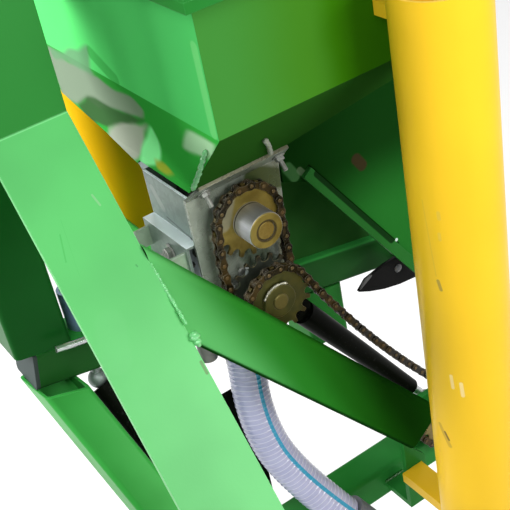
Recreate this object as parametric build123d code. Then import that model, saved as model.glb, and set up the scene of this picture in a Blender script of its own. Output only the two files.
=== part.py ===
from build123d import *
import os
from math import atan2, cos, degrees, hypot, pi, radians, sin, tan

# The chain-driven metering unit of a potato planter, under its hopper, with the frame corner round it.
# Millimetres. X runs along the drive's side plate, Y away from the drive side, Z up.
# Everything is placed from the middle of the metering sprocket, and set from the leg's bolt holes at the end.

# Roller chain, 1/2 inch pitch
PITCH = 12.7
ROLLER_D = 7.8
LINK_HEIGHT = 8.4
LINK_PLATE = 1.2
INNER_WIDTH = 3.5
LINK_GAP = 0.15
METER_CHAIN_LINKS = 28
DRIVE_CHAIN_LINKS = 66
DRIVE_CHAIN_ANGLE = -56.0
DRIVE_CHAIN_SAG = 10.0
METER_CHAIN_SLACK = 2.5
METER_CHAIN_Y = -2.0

# Sprockets
TEETH = 16
TOOTH_WIDTH = 2.9
SEAT_CLEARANCE = 0.3
TIP_LAND = 2.4
SPROCKET_GAP = 24.3
METER_HUB_D = 34.0
METER_HUB_LENGTH = 27.5
JACK_HUB_D = 28.0
JACK_BOSS_D = 34.0
JACK_BOSS_HEIGHT = 3.0
DRIVE_HUB_D = 30.0
HUB_CHAMFER = 1.0

# Shafts and bearings
METER_SHAFT_D = 18.0
JACK_SHAFT_D = 16.0
DRIVE_SHAFT_D = 16.0
SHAFT_RUNNING = 0.05
SHAFT_STUB = 4.0
INPUT_END_D = 14.0
INPUT_END_LENGTH = 20.0
DRIVE_STUB = 4.0
BEARING_D = 44.0
BEARING_THICKNESS = 5.0
BEARING_HUB_D = 28.0
BEARING_HUB_LENGTH = 9.0

# Galvanised side plate and metering box
PLATE_FRONT_Y = 10.0
PLATE_THICKNESS = 3.0
PLATE_WIDTH = 100.0
PLATE_RIGHT_X = 48.0
PLATE_LOW_RIGHT_X = 38.0
PLATE_TOP_Z = 36.6
PLATE_BOTTOM_Z = -112.0
FLANGE_LENGTH = 25.0
FLANGE_CORNER = 8.0
FLANGE_RIGHT_X = 52.0
END_PLATE_LEFT_X = -45.0
BOX_WIDTH = 92.0
BOX_LENGTH = 79.0
BOX_WALL = 2.5
BOX_STEP_Z = -9.0
BOX_STEP = 12.0
BOX_BOTTOM_Z = -50.0
BOX_TOP_Z = 36.0
TAB_TOP_Z = -15.0
SLIDE_TABS = [  # y of the near face, left x, lowest z
    (17.0, -79.0, -43.0),
    (84.0, -73.0, -35.0),
]
ROLLER_LENGTH = 60.0
ROLLER_OUTER_D = 48.0
ROLLER_FLUTES = 8
FLUTE_D = 11.0
SPOUT_D = 32.0
SPOUT_WALL = 2.0
SPOUT_LENGTH = 34.0
SPOUT_X = -18.0
DRAIN_D = 18.0
DRAIN_LENGTH = 106.0
DRAIN_X = -48.5
DRAIN_Y = 45.0

# Hopper
HOPPER_SHEET = 3.0
WALL_SLOPE = 42.0
HOPPER_FRONT_Y = -100.0
HOPPER_LEFT_X = -62.0
HOPPER_RIGHT_X = 210.0
HOPPER_TOP_Z = 250.0
NECK_BOTTOM_Z = 50.0
NECK_HEIGHT = 9.0
FLOOR_STEP = 3.0
RIGHT_FLOOR_SLOPE = 23.0
SKIRT = [  # y, z of the left wall's skirt
    (84.0, 51.0), (90.0, 46.0), (224.0, 78.0), (224.0, 100.0), (204.0, 135.0), (92.0, 142.0),
]

# Frame
LEG_WIDTH = 70.0
LEG_FLANGE = 60.0
LEG_THICKNESS = 5.0
LEG_RIGHT_X = -125.0
LEG_FRONT_Y = 16.0
LEG_KNEE_Z = 154.0
LEG_TOP_Z = 400.0
LEG_FOOT_Z = -140.0
LEG_LEAN = 38.7
BOLT_SPACING_X = 40.0
BOLT_SPACING_Z = 60.0
BOLT_HOLE_D = 13.0
BOLT_CENTRE_Z = 355.0

# Diagonal brace in front of the drive, 50 by 25 tube
BRACE_HEIGHT = 50.0
BRACE_DEPTH = 25.0
BRACE_WALL = 2.5
BRACE_CORNER = 6.0
BRACE_BACK_Y = -41.0
BRACE_TOP_AT_DRIVE = -98.0
BRACE_SLOPE = 52.0
BRACE_END_X = 118.0

# Rear cross beam, post and top rail
BEAM_HEIGHT = 40.0
BEAM_DEPTH = 50.0
BEAM_WALL = 3.0
BEAM_CORNER = 5.0
BEAM_FRONT_Y = 100.0
BEAM_TOP_AT_DRIVE = -134.0
BEAM_PITCH = 10.7
BEAM_LEFT_X = -196.0
BEAM_RIGHT_X = 245.0
END_CAP_THICKNESS = 4.0
HANGER_WIDTH = 50.0
SOCKET_D = 24.0
SOCKET_WALL = 3.0
SOCKET_HEIGHT = 45.0
SOCKET_X = -137.0
POST_WIDTH = 56.0
POST_RIGHT_X = -156.0
RAIL_BOTTOM_Z = 270.0
RAIL_SIZE = 50.0
ARM_BOTTOM_Z = 212.0
ARM_SIZE = 30.0
SIDE_RAIL_SIZE = 50.0
SIDE_RAIL_RIGHT_X = -30.0
SIDE_RAIL_TOP_Z = -70.0
SIDE_RAIL_BACK_Y = 214.0

# Panels behind the drive
PANEL_Y = 40.0
PANEL_THICKNESS = 3.0
PANEL_LEFT_X = 66.0
PANEL_RIGHT_X = 210.0
PANEL_LOW_Z = -172.0
PANEL_NOTCH = 29.0
PANEL_NOTCH_Z = -10.0
PANEL_NOTCH_DROP = 13.0
PANEL_SLOPE = 55.9
BAR_WIDTH = 12.0
BAR_THICKNESS = 5.0
BAR_LENGTH = 210.0
BAR_LAP = 1.5
BAR_RISE = 13.0
WEB_Y = 112.0
WEB_LEFT_X = -30.0
WEB_RIGHT_X = 200.0
WEB_FOOT_X = 218.0
WEB_FOOT_Z = -110.0
HANGER_RIGHT_X = 152.0
HANGER_BOTTOM_Z = -268.0

# Lower beam, end bracket and drive shaft bracket
LOWER_BEAM_FRONT_Y = -13.0
LOWER_BEAM_TOP_Z = -370.0
LOWER_BEAM_SIZE = 40.0
LOWER_BEAM_LEFT_X = -48.0
LOWER_BEAM_RIGHT_X = 245.0
BRACKET_WIDTH = 26.0
BRACKET_THICKNESS = 6.0
BRACKET_RIGHT_X = 120.0
BRACKET_LOW_Z = -394.0
SHAFT_BRACKET_WIDTH = 60.0
GUIDE_WIDTH = 34.0
GUIDE_THICKNESS = 3.0
GUIDE_TOP_Z = -208.0
GUIDE_Y = 44.0
GUIDE_FOOT = 20.0

# Yellow tubes
TUBE_D = 76.0
TUBE_WALL = 3.0
RIGHT_TUBE_X = 101.0
RIGHT_TUBE_Y = -160.0
RIGHT_TUBE_LOW_Z = -352.0
RIGHT_TUBE_TOP_Z = 214.0
LEFT_TUBE_X = -8.0
LEFT_TUBE_Y = 256.0
LEFT_TUBE_LOW_Z = -112.0
LEFT_TUBE_TOP_Z = 214.0
TUBE_BRACKET_WIDTH = 26.0
TUBE_BRACKET_HEIGHT = 12.0

# Spring strut behind the brace
STRUT_TOP_D = 26.0
STRUT_LOW_D = 19.0
STRUT_EYE_D = 26.0
STRUT_FOOT_D = 24.0
STRUT_ROD_D = 12.0
STRUT_Y = 40.0
STRUT_TOP_X = 54.0
STRUT_TOP_Z = -149.6
STRUT_ANGLE = -55.6
STRUT_BODY_LENGTH = 228.0
STRUT_ROD_LENGTH = 54.0
STRUT_PIN_D = 10.0

# Hose
HOSE_D = 38.0
HOSE_BORE_CLEARANCE = 0.15
CUFF_D = 46.0
CUFF_LENGTH = 30.0

# Low left corner: control rod, diagonal tube and second strut
ROD_D = 6.5
ROD_LEFT_X = -177.0
ROD_RIGHT_X = -96.0
ROD_Y = 86.0
ROD_HEIGHT = 8.0
EAR_X = -112.0
DIAGONAL_SIZE = 40.0
DIAGONAL_LENGTH = 190.0
DIAGONAL_START = (-185.0, 110.0, -135.0)
DIAGONAL_RUN = (0.25, -0.8, -1.0)
SECOND_STRUT_D = 26.0
SECOND_STRUT_LENGTH = 150.0
BALL_D = 20.0
BALL_STEM_D = 8.0
BALL_AT = (-141.0, 110.0, -164.0)

# Black cover below the back panel
COVER_Y = 60.0
COVER_THICKNESS = 4.0
COVER_OUTLINE = [  # x, z
    (146.0, -192.5), (157.0, -182.5), (183.0, -177.0), (200.0, -176.0), (236.0, -185.0),
    (236.0, -214.0), (223.0, -214.5), (201.0, -212.0), (180.0, -207.0), (160.0, -199.5),
]
COVER_WEB_X = 228.0

# Worked out from the sizes above
PITCH_R = PITCH / (2 * sin(pi / TEETH))
TIP_R = PITCH * (0.6 + 1 / tan(pi / TEETH)) / 2
JACK_DISTANCE = (METER_CHAIN_LINKS - TEETH) * PITCH / 2
DRIVE_DISTANCE = (DRIVE_CHAIN_LINKS - TEETH) * PITCH / 2
JACK_Z = -JACK_DISTANCE
DRIVE_X = DRIVE_DISTANCE * cos(radians(DRIVE_CHAIN_ANGLE))
DRIVE_Z = JACK_Z + DRIVE_DISTANCE * sin(radians(DRIVE_CHAIN_ANGLE))
DRIVE_Y = METER_CHAIN_Y - SPROCKET_GAP
PLATE_BACK_Y = PLATE_FRONT_Y + PLATE_THICKNESS
BOX_BACK_Y = PLATE_BACK_Y + BOX_LENGTH
END_BACK_Y = BOX_BACK_Y + PLATE_THICKNESS
TO_MOUNT = Location((-(LEG_RIGHT_X - LEG_WIDTH / 2), -(LEG_FRONT_Y + LEG_THICKNESS), -BOLT_CENTRE_Z))

os.makedirs("parts", exist_ok=True)


def save(name, solids):
    """Sets a sub-part from the leg's bolt holes and writes it."""
    group = solids if isinstance(solids, list) else [solids]
    bodies = [body for item in group for body in item.solids()]
    moved = [TO_MOUNT * body for body in bodies]
    export_step(moved[0] if len(moved) == 1 else Compound(children=moved), f"parts/{name}.step")


def block(x0, x1, y0, y1, z0, z1):
    return Pos((x0 + x1) / 2, (y0 + y1) / 2, (z0 + z1) / 2) * Box(x1 - x0, y1 - y0, z1 - z0)


def bar_y(diameter, y0, y1, x=0.0, z=0.0):
    """Round bar along Y."""
    return Pos(x, (y0 + y1) / 2, z) * Rot(90, 0, 0) * Cylinder(diameter / 2, y1 - y0)


def turned_y(diameter, y0, y1, x=0.0, z=0.0):
    """Round bar along Y with its front end's edge taken off."""
    bar = Cylinder(diameter / 2, y1 - y0)
    bar = chamfer(bar.edges().sort_by(Axis.Z)[-1], HUB_CHAMFER)
    return Pos(x, (y0 + y1) / 2, z) * Rot(90, 0, 0) * bar


def sheet_xz(points, y0, y1):
    """Flat sheet in the X-Z plane, from points (x, z)."""
    face = Plane.XZ * make_face(Polyline([(x, z) for x, z in points], close=True))
    return Pos(0, y1, 0) * extrude(face, y1 - y0)


def rolled_tube(start, end, side, width, depth, wall, corner):
    """Rectangular tube from start to end; width is measured along side."""
    start = Vector(*start)
    run = Vector(*end) - start
    plane = Plane(origin=start, x_dir=Vector(*side), z_dir=run)
    outer = RectangleRounded(width, depth, corner)
    inner = RectangleRounded(width - 2 * wall, depth - 2 * wall, max(corner - wall, 0.5))
    return extrude(plane * (outer - inner), run.length)


def brace_top(x):
    return BRACE_TOP_AT_DRIVE - x * tan(radians(BRACE_SLOPE))


def beam_top(x):
    return BEAM_TOP_AT_DRIVE - x * tan(radians(BEAM_PITCH))


def wall_y(z):
    """Y of the front funnel wall's outer face at a height."""
    return PLATE_BACK_Y - (z - PLATE_TOP_Z) / tan(radians(WALL_SLOPE))


def floor_z(x):
    """Underside of the hopper's right floor."""
    return NECK_BOTTOM_Z + FLOOR_STEP + (x - PLATE_WIDTH / 2) * tan(radians(RIGHT_FLOOR_SLOPE))


NECK_TOP_Z = NECK_BOTTOM_Z + NECK_HEIGHT
FOLD_Z = PLATE_TOP_Z + (PLATE_BACK_Y - HOPPER_FRONT_Y) * tan(radians(WALL_SLOPE))
HOPPER_MIDDLE_Y = (PLATE_BACK_Y + BOX_BACK_Y) / 2


# Sprockets: a toothed disc with a hub on each side as it needs
def sprocket(phase, hubs, bore, y, x=0.0, z=0.0):
    """phase is the angle of one roller seat; hubs hold (diameter, near y, far y) from the disc's middle."""
    seat = ROLLER_D / 2 + SEAT_CLEARANCE
    opening = (2 * pi * TIP_R / TEETH - TIP_LAND) / 2
    flank = Polyline([(PITCH_R, -seat), (TIP_R + 1, -opening), (TIP_R + 1, opening), (PITCH_R, seat)], close=True)
    gap = Pos(PITCH_R, 0) * Circle(seat) + make_face(flank)
    profile = Circle(TIP_R)
    for tooth in range(TEETH):
        profile -= Rot(0, 0, phase + 360 * tooth / TEETH) * gap
    disc = Pos(0, TOOTH_WIDTH / 2, 0) * extrude(Plane.XZ * profile, TOOTH_WIDTH)
    for diameter, near, far in hubs:
        disc += turned_y(diameter, near, far)
    disc -= bar_y(bore, -60, 60)
    return Pos(x, y, z) * disc


def loop_path(a, b, links, first_angle, dips):
    """Roller centres of a chain round two equal sprockets, one pitch apart, starting on sprocket a.

    dips are how far the middle of each straight strand lies inside the line between the sprockets.
    """
    ax, az = a
    bx, bz = b
    distance = hypot(bx - ax, bz - az)
    along = atan2(bz - az, bx - ax)
    arc = pi * PITCH_R
    total = 2 * arc + 2 * distance

    def strand(start_x, start_z, heading, s, dip):
        """Point of a strand, kept outside both sprockets' pitch circles."""
        low = 4 * dip * s * (distance - s) / distance**2
        x = start_x + s * cos(heading) + low * sin(heading)
        z = start_z + s * sin(heading) - low * cos(heading)
        for cx, cz in (a, b):
            away = hypot(x - cx, z - cz)
            if away < PITCH_R:
                x, z = cx + (x - cx) * PITCH_R / away, cz + (z - cz) * PITCH_R / away
        return (x, z)

    def point(s):
        s = s % total
        out = along + pi / 2
        if s < distance:
            return strand(ax + PITCH_R * cos(out), az + PITCH_R * sin(out), along, s, dips[0])
        if s < distance + arc:
            angle = out - (s - distance) / PITCH_R
            return (bx + PITCH_R * cos(angle), bz + PITCH_R * sin(angle))
        if s < 2 * distance + arc:
            back = s - distance - arc
            return strand(bx - PITCH_R * cos(out), bz - PITCH_R * sin(out), along + pi, back, dips[1])
        angle = out - pi - (s - 2 * distance - arc) / PITCH_R
        return (ax + PITCH_R * cos(angle), az + PITCH_R * sin(angle))

    def march(step):
        places = [start]
        for _ in range(links):
            low, high = places[-1] + 0.5 * step, places[-1] + 1.5 * step
            here = point(places[-1])
            for _ in range(40):
                middle = (low + high) / 2
                there = point(middle)
                if hypot(there[0] - here[0], there[1] - here[1]) < step:
                    low = middle
                else:
                    high = middle
            places.append(low)
        return places

    turned = (along - pi / 2 - radians(first_angle)) % (2 * pi)
    start = 2 * distance + arc + turned * PITCH_R
    low, high = 0.98 * PITCH, 1.02 * PITCH
    for _ in range(40):
        step = (low + high) / 2
        if march(step)[-1] - start < total:
            low = step
        else:
            high = step
    return [point(s) for s in march(step)[:-1]]


def seat_angle(centre, rollers):
    """Angle of one seat, so that all the seats fit the rollers lying on this sprocket best."""
    cx, cz = centre
    turns = [TEETH * atan2(z - cz, x - cx) for x, z in rollers if abs(hypot(x - cx, z - cz) - PITCH_R) < 0.2]
    return degrees(atan2(sum(sin(a) for a in turns), sum(cos(a) for a in turns))) / TEETH


def chain(rollers, y):
    """Side plates and rollers of a chain; inner and outer links take turns."""
    solids = []
    count = len(rollers)
    half = LINK_HEIGHT / 2
    reach = PITCH / 2 + half - 0.6
    shoulder = PITCH / 2 + 1.6
    outline = [(-reach, 0), (-shoulder, -half), (shoulder, -half), (reach, 0), (shoulder, half), (-shoulder, half)]
    for index, (x, z) in enumerate(rollers):
        nx, nz = rollers[(index + 1) % count]
        turn = degrees(atan2(nz - z, nx - x))
        inner = INNER_WIDTH / 2 + (index % 2) * (LINK_PLATE + LINK_GAP)
        middle = Pos((x + nx) / 2, y, (z + nz) / 2) * Rot(0, -turn, 0)
        for near in (-inner - LINK_PLATE, inner):
            solids.append(middle * sheet_xz(outline, near, near + LINK_PLATE))
        roller = Plane.XZ * RegularPolygon(ROLLER_D / 2, 5)
        solids.append(Pos(x, y + INNER_WIDTH / 2 - LINK_GAP, z) * extrude(roller, INNER_WIDTH - 2 * LINK_GAP))
    return solids


METER_SEAT_ANGLE = 31.85
JACK_SEAT_ANGLE = 34.1
meter_rollers = loop_path((0, 0), (0, JACK_Z), METER_CHAIN_LINKS, METER_SEAT_ANGLE, (0.0, -METER_CHAIN_SLACK))
drive_dips = (DRIVE_CHAIN_SAG, 0.0)
drive_rollers = loop_path((0, JACK_Z), (DRIVE_X, DRIVE_Z), DRIVE_CHAIN_LINKS, JACK_SEAT_ANGLE, drive_dips)
save("metering_chain", chain(meter_rollers, METER_CHAIN_Y))
save("drive_chain", chain(drive_rollers, DRIVE_Y))

half_tooth = TOOTH_WIDTH / 2
meter_hub_end = -half_tooth - METER_HUB_LENGTH
meter_shaft_front = METER_CHAIN_Y + meter_hub_end + 0.6
meter_bore = METER_SHAFT_D + 2 * SHAFT_RUNNING
meter_phase = seat_angle((0, 0), meter_rollers)
save("metering_sprocket", sprocket(meter_phase, [(METER_HUB_D, meter_hub_end, 0)], meter_bore, METER_CHAIN_Y))
jack_bore = JACK_SHAFT_D + 2 * SHAFT_RUNNING
rear_phase = seat_angle((0, JACK_Z), meter_rollers)
save("jackshaft_rear_sprocket", sprocket(rear_phase, [], jack_bore, METER_CHAIN_Y, 0.0, JACK_Z))
jack_hubs = [(JACK_HUB_D, 0, SPROCKET_GAP - half_tooth), (JACK_BOSS_D, -half_tooth - JACK_BOSS_HEIGHT, 0)]
front_phase = seat_angle((0, JACK_Z), drive_rollers)
save("jackshaft_front_sprocket", sprocket(front_phase, jack_hubs, jack_bore, DRIVE_Y, 0.0, JACK_Z))
drive_phase = seat_angle((DRIVE_X, DRIVE_Z), drive_rollers)
drive_bore = DRIVE_SHAFT_D + 2 * SHAFT_RUNNING
drive_hubs = [(DRIVE_HUB_D, 0, half_tooth + 4.0)]
save("drive_sprocket", sprocket(drive_phase, drive_hubs, drive_bore, DRIVE_Y, DRIVE_X, DRIVE_Z))

# Shafts
save("metering_shaft", turned_y(METER_SHAFT_D, meter_shaft_front, END_BACK_Y + BEARING_HUB_LENGTH + SHAFT_STUB))
jack_front = DRIVE_Y - half_tooth - JACK_BOSS_HEIGHT - 1.4
save("jackshaft", turned_y(JACK_SHAFT_D, jack_front, PLATE_BACK_Y + BEARING_HUB_LENGTH + SHAFT_STUB, 0.0, JACK_Z))
drive_bracket_y = LOWER_BEAM_FRONT_Y + BEAM_CORNER
drive_front = DRIVE_Y - half_tooth - 1.0
drive_back = drive_bracket_y + BRACKET_THICKNESS + BEARING_HUB_LENGTH + DRIVE_STUB
drive_shaft = bar_y(DRIVE_SHAFT_D, drive_front, drive_back, DRIVE_X, DRIVE_Z)
drive_shaft += bar_y(INPUT_END_D, drive_front - INPUT_END_LENGTH, drive_front, DRIVE_X, DRIVE_Z)
save("drive_shaft", drive_shaft)


# Pressed flange bearings, on the plates that carry the shafts
def bearing(bore, y, x, z):
    """y is the plate face that the flange sits on; the housing stands away from it along +Y."""
    body = bar_y(BEARING_D, y, y + BEARING_THICKNESS, x, z)
    body += bar_y(BEARING_HUB_D, y, y + BEARING_HUB_LENGTH, x, z)
    return body - bar_y(bore, y - 1, y + BEARING_HUB_LENGTH + 1, x, z)


BEARINGS = [  # name, shaft diameter, y of its seat, x, z
    ("metering_front_bearing", METER_SHAFT_D, PLATE_BACK_Y, 0.0, 0.0),
    ("metering_rear_bearing", METER_SHAFT_D, END_BACK_Y, 0.0, 0.0),
    ("jackshaft_bearing", JACK_SHAFT_D, PLATE_BACK_Y, 0.0, JACK_Z),
    ("drive_bearing", DRIVE_SHAFT_D, drive_bracket_y + BRACKET_THICKNESS, DRIVE_X, DRIVE_Z),
]
for name, shaft, y, x, z in BEARINGS:
    save(name, bearing(shaft + 2 * SHAFT_RUNNING, y, x, z))

# Side plate: a flat sheet with its top bent up against the funnel wall, and holes over the shafts
half_plate = PLATE_WIDTH / 2
plate_outline = [(-half_plate, PLATE_BOTTOM_Z), (PLATE_LOW_RIGHT_X, PLATE_BOTTOM_Z), (PLATE_RIGHT_X, PLATE_TOP_Z)]
plate_outline += [(-half_plate, PLATE_TOP_Z)]
plate = sheet_xz(plate_outline, PLATE_FRONT_Y, PLATE_BACK_Y)
slope = radians(WALL_SLOPE)
run_y, run_z = FLANGE_LENGTH * cos(slope), FLANGE_LENGTH * sin(slope)
off_y, off_z = PLATE_THICKNESS * sin(slope), PLATE_THICKNESS * cos(slope)
flange_points = [
    (PLATE_BACK_Y, PLATE_TOP_Z),
    (PLATE_BACK_Y - run_y, PLATE_TOP_Z + run_z),
    (PLATE_BACK_Y - run_y - off_y, PLATE_TOP_Z + run_z - off_z),
    (PLATE_FRONT_Y, PLATE_TOP_Z + (PLATE_THICKNESS - off_y) * tan(slope) - off_z),
    (PLATE_FRONT_Y, PLATE_TOP_Z - 4),
    (PLATE_BACK_Y, PLATE_TOP_Z - 4),
]
flange = Plane.YZ * make_face(Polyline(flange_points, close=True))
flange = Pos(-half_plate, 0, 0) * extrude(flange, half_plate + FLANGE_RIGHT_X)
top_outline = [(-half_plate, PLATE_BOTTOM_Z), (FLANGE_RIGHT_X, PLATE_BOTTOM_Z), (FLANGE_RIGHT_X, PLATE_TOP_Z + 1)]
top_outline += [(FLANGE_RIGHT_X - 2, PLATE_TOP_Z + run_z), (FLANGE_CORNER - half_plate, PLATE_TOP_Z + run_z)]
top_outline += [(-half_plate, PLATE_TOP_Z + 1)]
flange &= sheet_xz(top_outline, PLATE_FRONT_Y - 60, PLATE_BACK_Y + 10)
plate += flange
for x, z, hole in ((0, 0, METER_SHAFT_D + 4), (0, JACK_Z, JACK_SHAFT_D + 4)):
    plate -= bar_y(hole, PLATE_FRONT_Y - 1, PLATE_BACK_Y + 1, x, z)
save("side_plate", plate)

# Far end plate, the same sheet turned round
end_plate = block(END_PLATE_LEFT_X, PLATE_RIGHT_X, BOX_BACK_Y, END_BACK_Y, BOX_BOTTOM_Z, PLATE_TOP_Z)
end_flange = mirror(flange, Plane.XZ.offset(-HOPPER_MIDDLE_Y))
end_plate += end_flange & block(END_PLATE_LEFT_X, PLATE_RIGHT_X, 0, 300, -100, 200)
end_plate -= bar_y(METER_SHAFT_D + 4, BOX_BACK_Y - 1, END_BACK_Y + 1)
save("end_plate", end_plate)

# Metering box: folded sheet, stepped out below the roller, open at its top
half_box = BOX_WIDTH / 2
step_out = half_box + BOX_STEP


def box_outline(inset, top):
    w, s = half_box - inset, step_out - inset
    return [(-w, top), (-w, BOX_STEP_Z - inset), (-s, BOX_STEP_Z - inset), (-s, BOX_BOTTOM_Z + inset),
            (w, BOX_BOTTOM_Z + inset), (w, top)]


metering_box = sheet_xz(box_outline(0, BOX_TOP_Z), PLATE_BACK_Y, BOX_BACK_Y)
metering_box -= sheet_xz(box_outline(BOX_WALL, BOX_TOP_Z + 1), PLATE_BACK_Y - 1, BOX_BACK_Y + 1)
spout_y = HOPPER_MIDDLE_Y
for x, y, diameter in ((SPOUT_X, spout_y, SPOUT_D), (DRAIN_X, DRAIN_Y, DRAIN_D)):
    metering_box -= Pos(x, y, BOX_BOTTOM_Z) * Cylinder(diameter / 2, 20)
save("metering_box", metering_box)

# Feed roller with round flutes, on the metering shaft
roller_front = spout_y - ROLLER_LENGTH / 2
feed_roller = bar_y(ROLLER_OUTER_D, roller_front, roller_front + ROLLER_LENGTH)
for flute in range(ROLLER_FLUTES):
    angle = 2 * pi * flute / ROLLER_FLUTES
    x, z = ROLLER_OUTER_D / 2 * cos(angle), ROLLER_OUTER_D / 2 * sin(angle)
    feed_roller -= bar_y(FLUTE_D, roller_front - 1, roller_front + ROLLER_LENGTH + 1, x, z)
feed_roller -= bar_y(meter_bore, roller_front - 1, roller_front + ROLLER_LENGTH + 1)
save("feed_roller", feed_roller)

# Spouts under the box: the hose's and a short drain beside it
for name, x, y, diameter, length in (
    ("hose_spout", SPOUT_X, spout_y, SPOUT_D, SPOUT_LENGTH),
    ("drain_spout", DRAIN_X, DRAIN_Y, DRAIN_D, DRAIN_LENGTH),
):
    ring = Cylinder(diameter / 2, length) - Cylinder(diameter / 2 - SPOUT_WALL, length + 2)
    save(name, Pos(x, y, BOX_BOTTOM_Z - length / 2) * ring)

# Folded tabs on the box's left side, where the slide's screw passes
save("slide_tabs", [block(left, -step_out, y, y + BOX_WALL, low, TAB_TOP_Z) for y, left, low in SLIDE_TABS])


# Hopper: a sheet box on a funnel, open at its top and its outlet
def hopper_side(top, bottom):
    """Front and back walls seen along X."""
    front = wall_y(bottom)
    points = [(front, bottom), (HOPPER_FRONT_Y, FOLD_Z), (HOPPER_FRONT_Y, top)]
    points += [(2 * HOPPER_MIDDLE_Y - y, z) for y, z in reversed(points)]
    face = Plane.YZ * make_face(Polyline(points, close=True))
    return face


def hopper_front(top, bottom):
    """Left and right walls seen along Y."""
    points = [(-half_plate, bottom), (-half_plate, NECK_TOP_Z), (HOPPER_LEFT_X, FOLD_Z), (HOPPER_LEFT_X, top),
              (HOPPER_RIGHT_X, top), (HOPPER_RIGHT_X, floor_z(HOPPER_RIGHT_X)), (half_plate, floor_z(half_plate)),
              (half_plate, bottom)]
    return Plane.XZ * make_face(Polyline(points, close=True))


def hopper_form(top, bottom, inset):
    side = hopper_side(top, bottom)
    front = hopper_front(top, bottom)
    if inset:
        side = offset(side, -inset, kind=Kind.INTERSECTION)
        front = offset(front, -inset, kind=Kind.INTERSECTION)
    return (Pos(-400, 0, 0) * extrude(side, 800)) & (Pos(0, 400, 0) * extrude(front, 800))


hopper = hopper_form(HOPPER_TOP_Z, NECK_BOTTOM_Z + 1, 0) - hopper_form(HOPPER_TOP_Z + 20, NECK_BOTTOM_Z - 12, HOPPER_SHEET)
# Its left wall runs on below the rear slope as a skirt
wall_points = [(-half_plate, NECK_BOTTOM_Z - 10), (-half_plate, NECK_TOP_Z), (HOPPER_LEFT_X, FOLD_Z), (HOPPER_LEFT_X, FOLD_Z + 5)]
wall_points += [(x + HOPPER_SHEET, z) for x, z in reversed(wall_points)]
skirt = Pos(-200, 0, 0) * extrude(Plane.YZ * make_face(Polyline(SKIRT, close=True)), 200)
hopper += skirt & sheet_xz(wall_points, 0, 300)
save("hopper", hopper)

# Leg: angle section, upright at its top and leaning towards the drive side below the knee
lean = radians(LEG_LEAN)


def leg_face(depth):
    """Outline seen along X of the leg's band, as deep as depth, behind its front face."""
    low_y = LEG_FRONT_Y - (LEG_KNEE_Z - LEG_FOOT_Z) * tan(lean)
    knee_z = LEG_KNEE_Z - depth * tan(lean / 2)
    foot_y, foot_z = low_y + depth * cos(lean), LEG_FOOT_Z - depth * sin(lean)
    return [(LEG_FRONT_Y, LEG_TOP_Z), (LEG_FRONT_Y, LEG_KNEE_Z), (low_y, LEG_FOOT_Z),
            (foot_y, foot_z), (LEG_FRONT_Y + depth, knee_z), (LEG_FRONT_Y + depth, LEG_TOP_Z)]


def leg_band(depth, x0, x1):
    face = Plane.YZ * make_face(Polyline(leg_face(depth), close=True))
    return Pos(x0, 0, 0) * extrude(face, x1 - x0)


leg_left_x = LEG_RIGHT_X - LEG_WIDTH
leg = leg_band(LEG_THICKNESS, leg_left_x, LEG_RIGHT_X)
leg += leg_band(LEG_FLANGE, LEG_RIGHT_X - LEG_THICKNESS, LEG_RIGHT_X)
for dx in (-BOLT_SPACING_X / 2, BOLT_SPACING_X / 2):
    for dz in (-BOLT_SPACING_Z / 2, BOLT_SPACING_Z / 2):
        hole_x = (leg_left_x + LEG_RIGHT_X) / 2 + dx
        leg -= bar_y(BOLT_HOLE_D, LEG_FRONT_Y - 1, LEG_FRONT_Y + LEG_THICKNESS + 1, hole_x, BOLT_CENTRE_Z + dz)
save("leg", leg)

# Brace, cut square to X at its left end where it meets the leg's flange
brace_slope = radians(BRACE_SLOPE)
brace_y = BRACE_BACK_Y - BRACE_DEPTH / 2
drop = BRACE_HEIGHT / 2 / cos(brace_slope)


def brace_point(x):
    return (x, brace_y, brace_top(x) - drop)


brace = rolled_tube(brace_point(LEG_RIGHT_X - 60), brace_point(BRACE_END_X), (sin(brace_slope), 0, cos(brace_slope)),
                    BRACE_HEIGHT, BRACE_DEPTH, BRACE_WALL, BRACE_CORNER)
brace -= block(LEG_RIGHT_X - 200, LEG_RIGHT_X, brace_y - 50, brace_y + 50, -300, 400)
save("brace", brace)

# Rear cross beam with its end cap
beam_y = BEAM_FRONT_Y + BEAM_DEPTH / 2
pitch = radians(BEAM_PITCH)
beam_side = (sin(pitch), 0, cos(pitch))


def beam_point(x):
    return (x, beam_y, beam_top(x) - BEAM_HEIGHT / 2 / cos(pitch))


save("cross_beam", rolled_tube(beam_point(BEAM_LEFT_X), beam_point(BEAM_RIGHT_X), beam_side,
                               BEAM_HEIGHT, BEAM_DEPTH, BEAM_WALL, BEAM_CORNER))
cap_start = Vector(*beam_point(BEAM_LEFT_X))
cap_plane = Plane(origin=cap_start, x_dir=Vector(*beam_side), z_dir=Vector(-cos(pitch), 0, sin(pitch)))
cap = extrude(cap_plane * RectangleRounded(BEAM_HEIGHT, BEAM_DEPTH, BEAM_CORNER), END_CAP_THICKNESS)
save("beam_end_cap", cap)


def below_beam_top(y0, y1):
    """Everything lower than the cross beam's sloping top face."""
    x0, x1 = BEAM_LEFT_X - 60, BEAM_RIGHT_X + 60
    return sheet_xz([(x0, beam_top(x0)), (x1, beam_top(x1)), (x1, -600), (x0, -600)], y0, y1)


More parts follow.
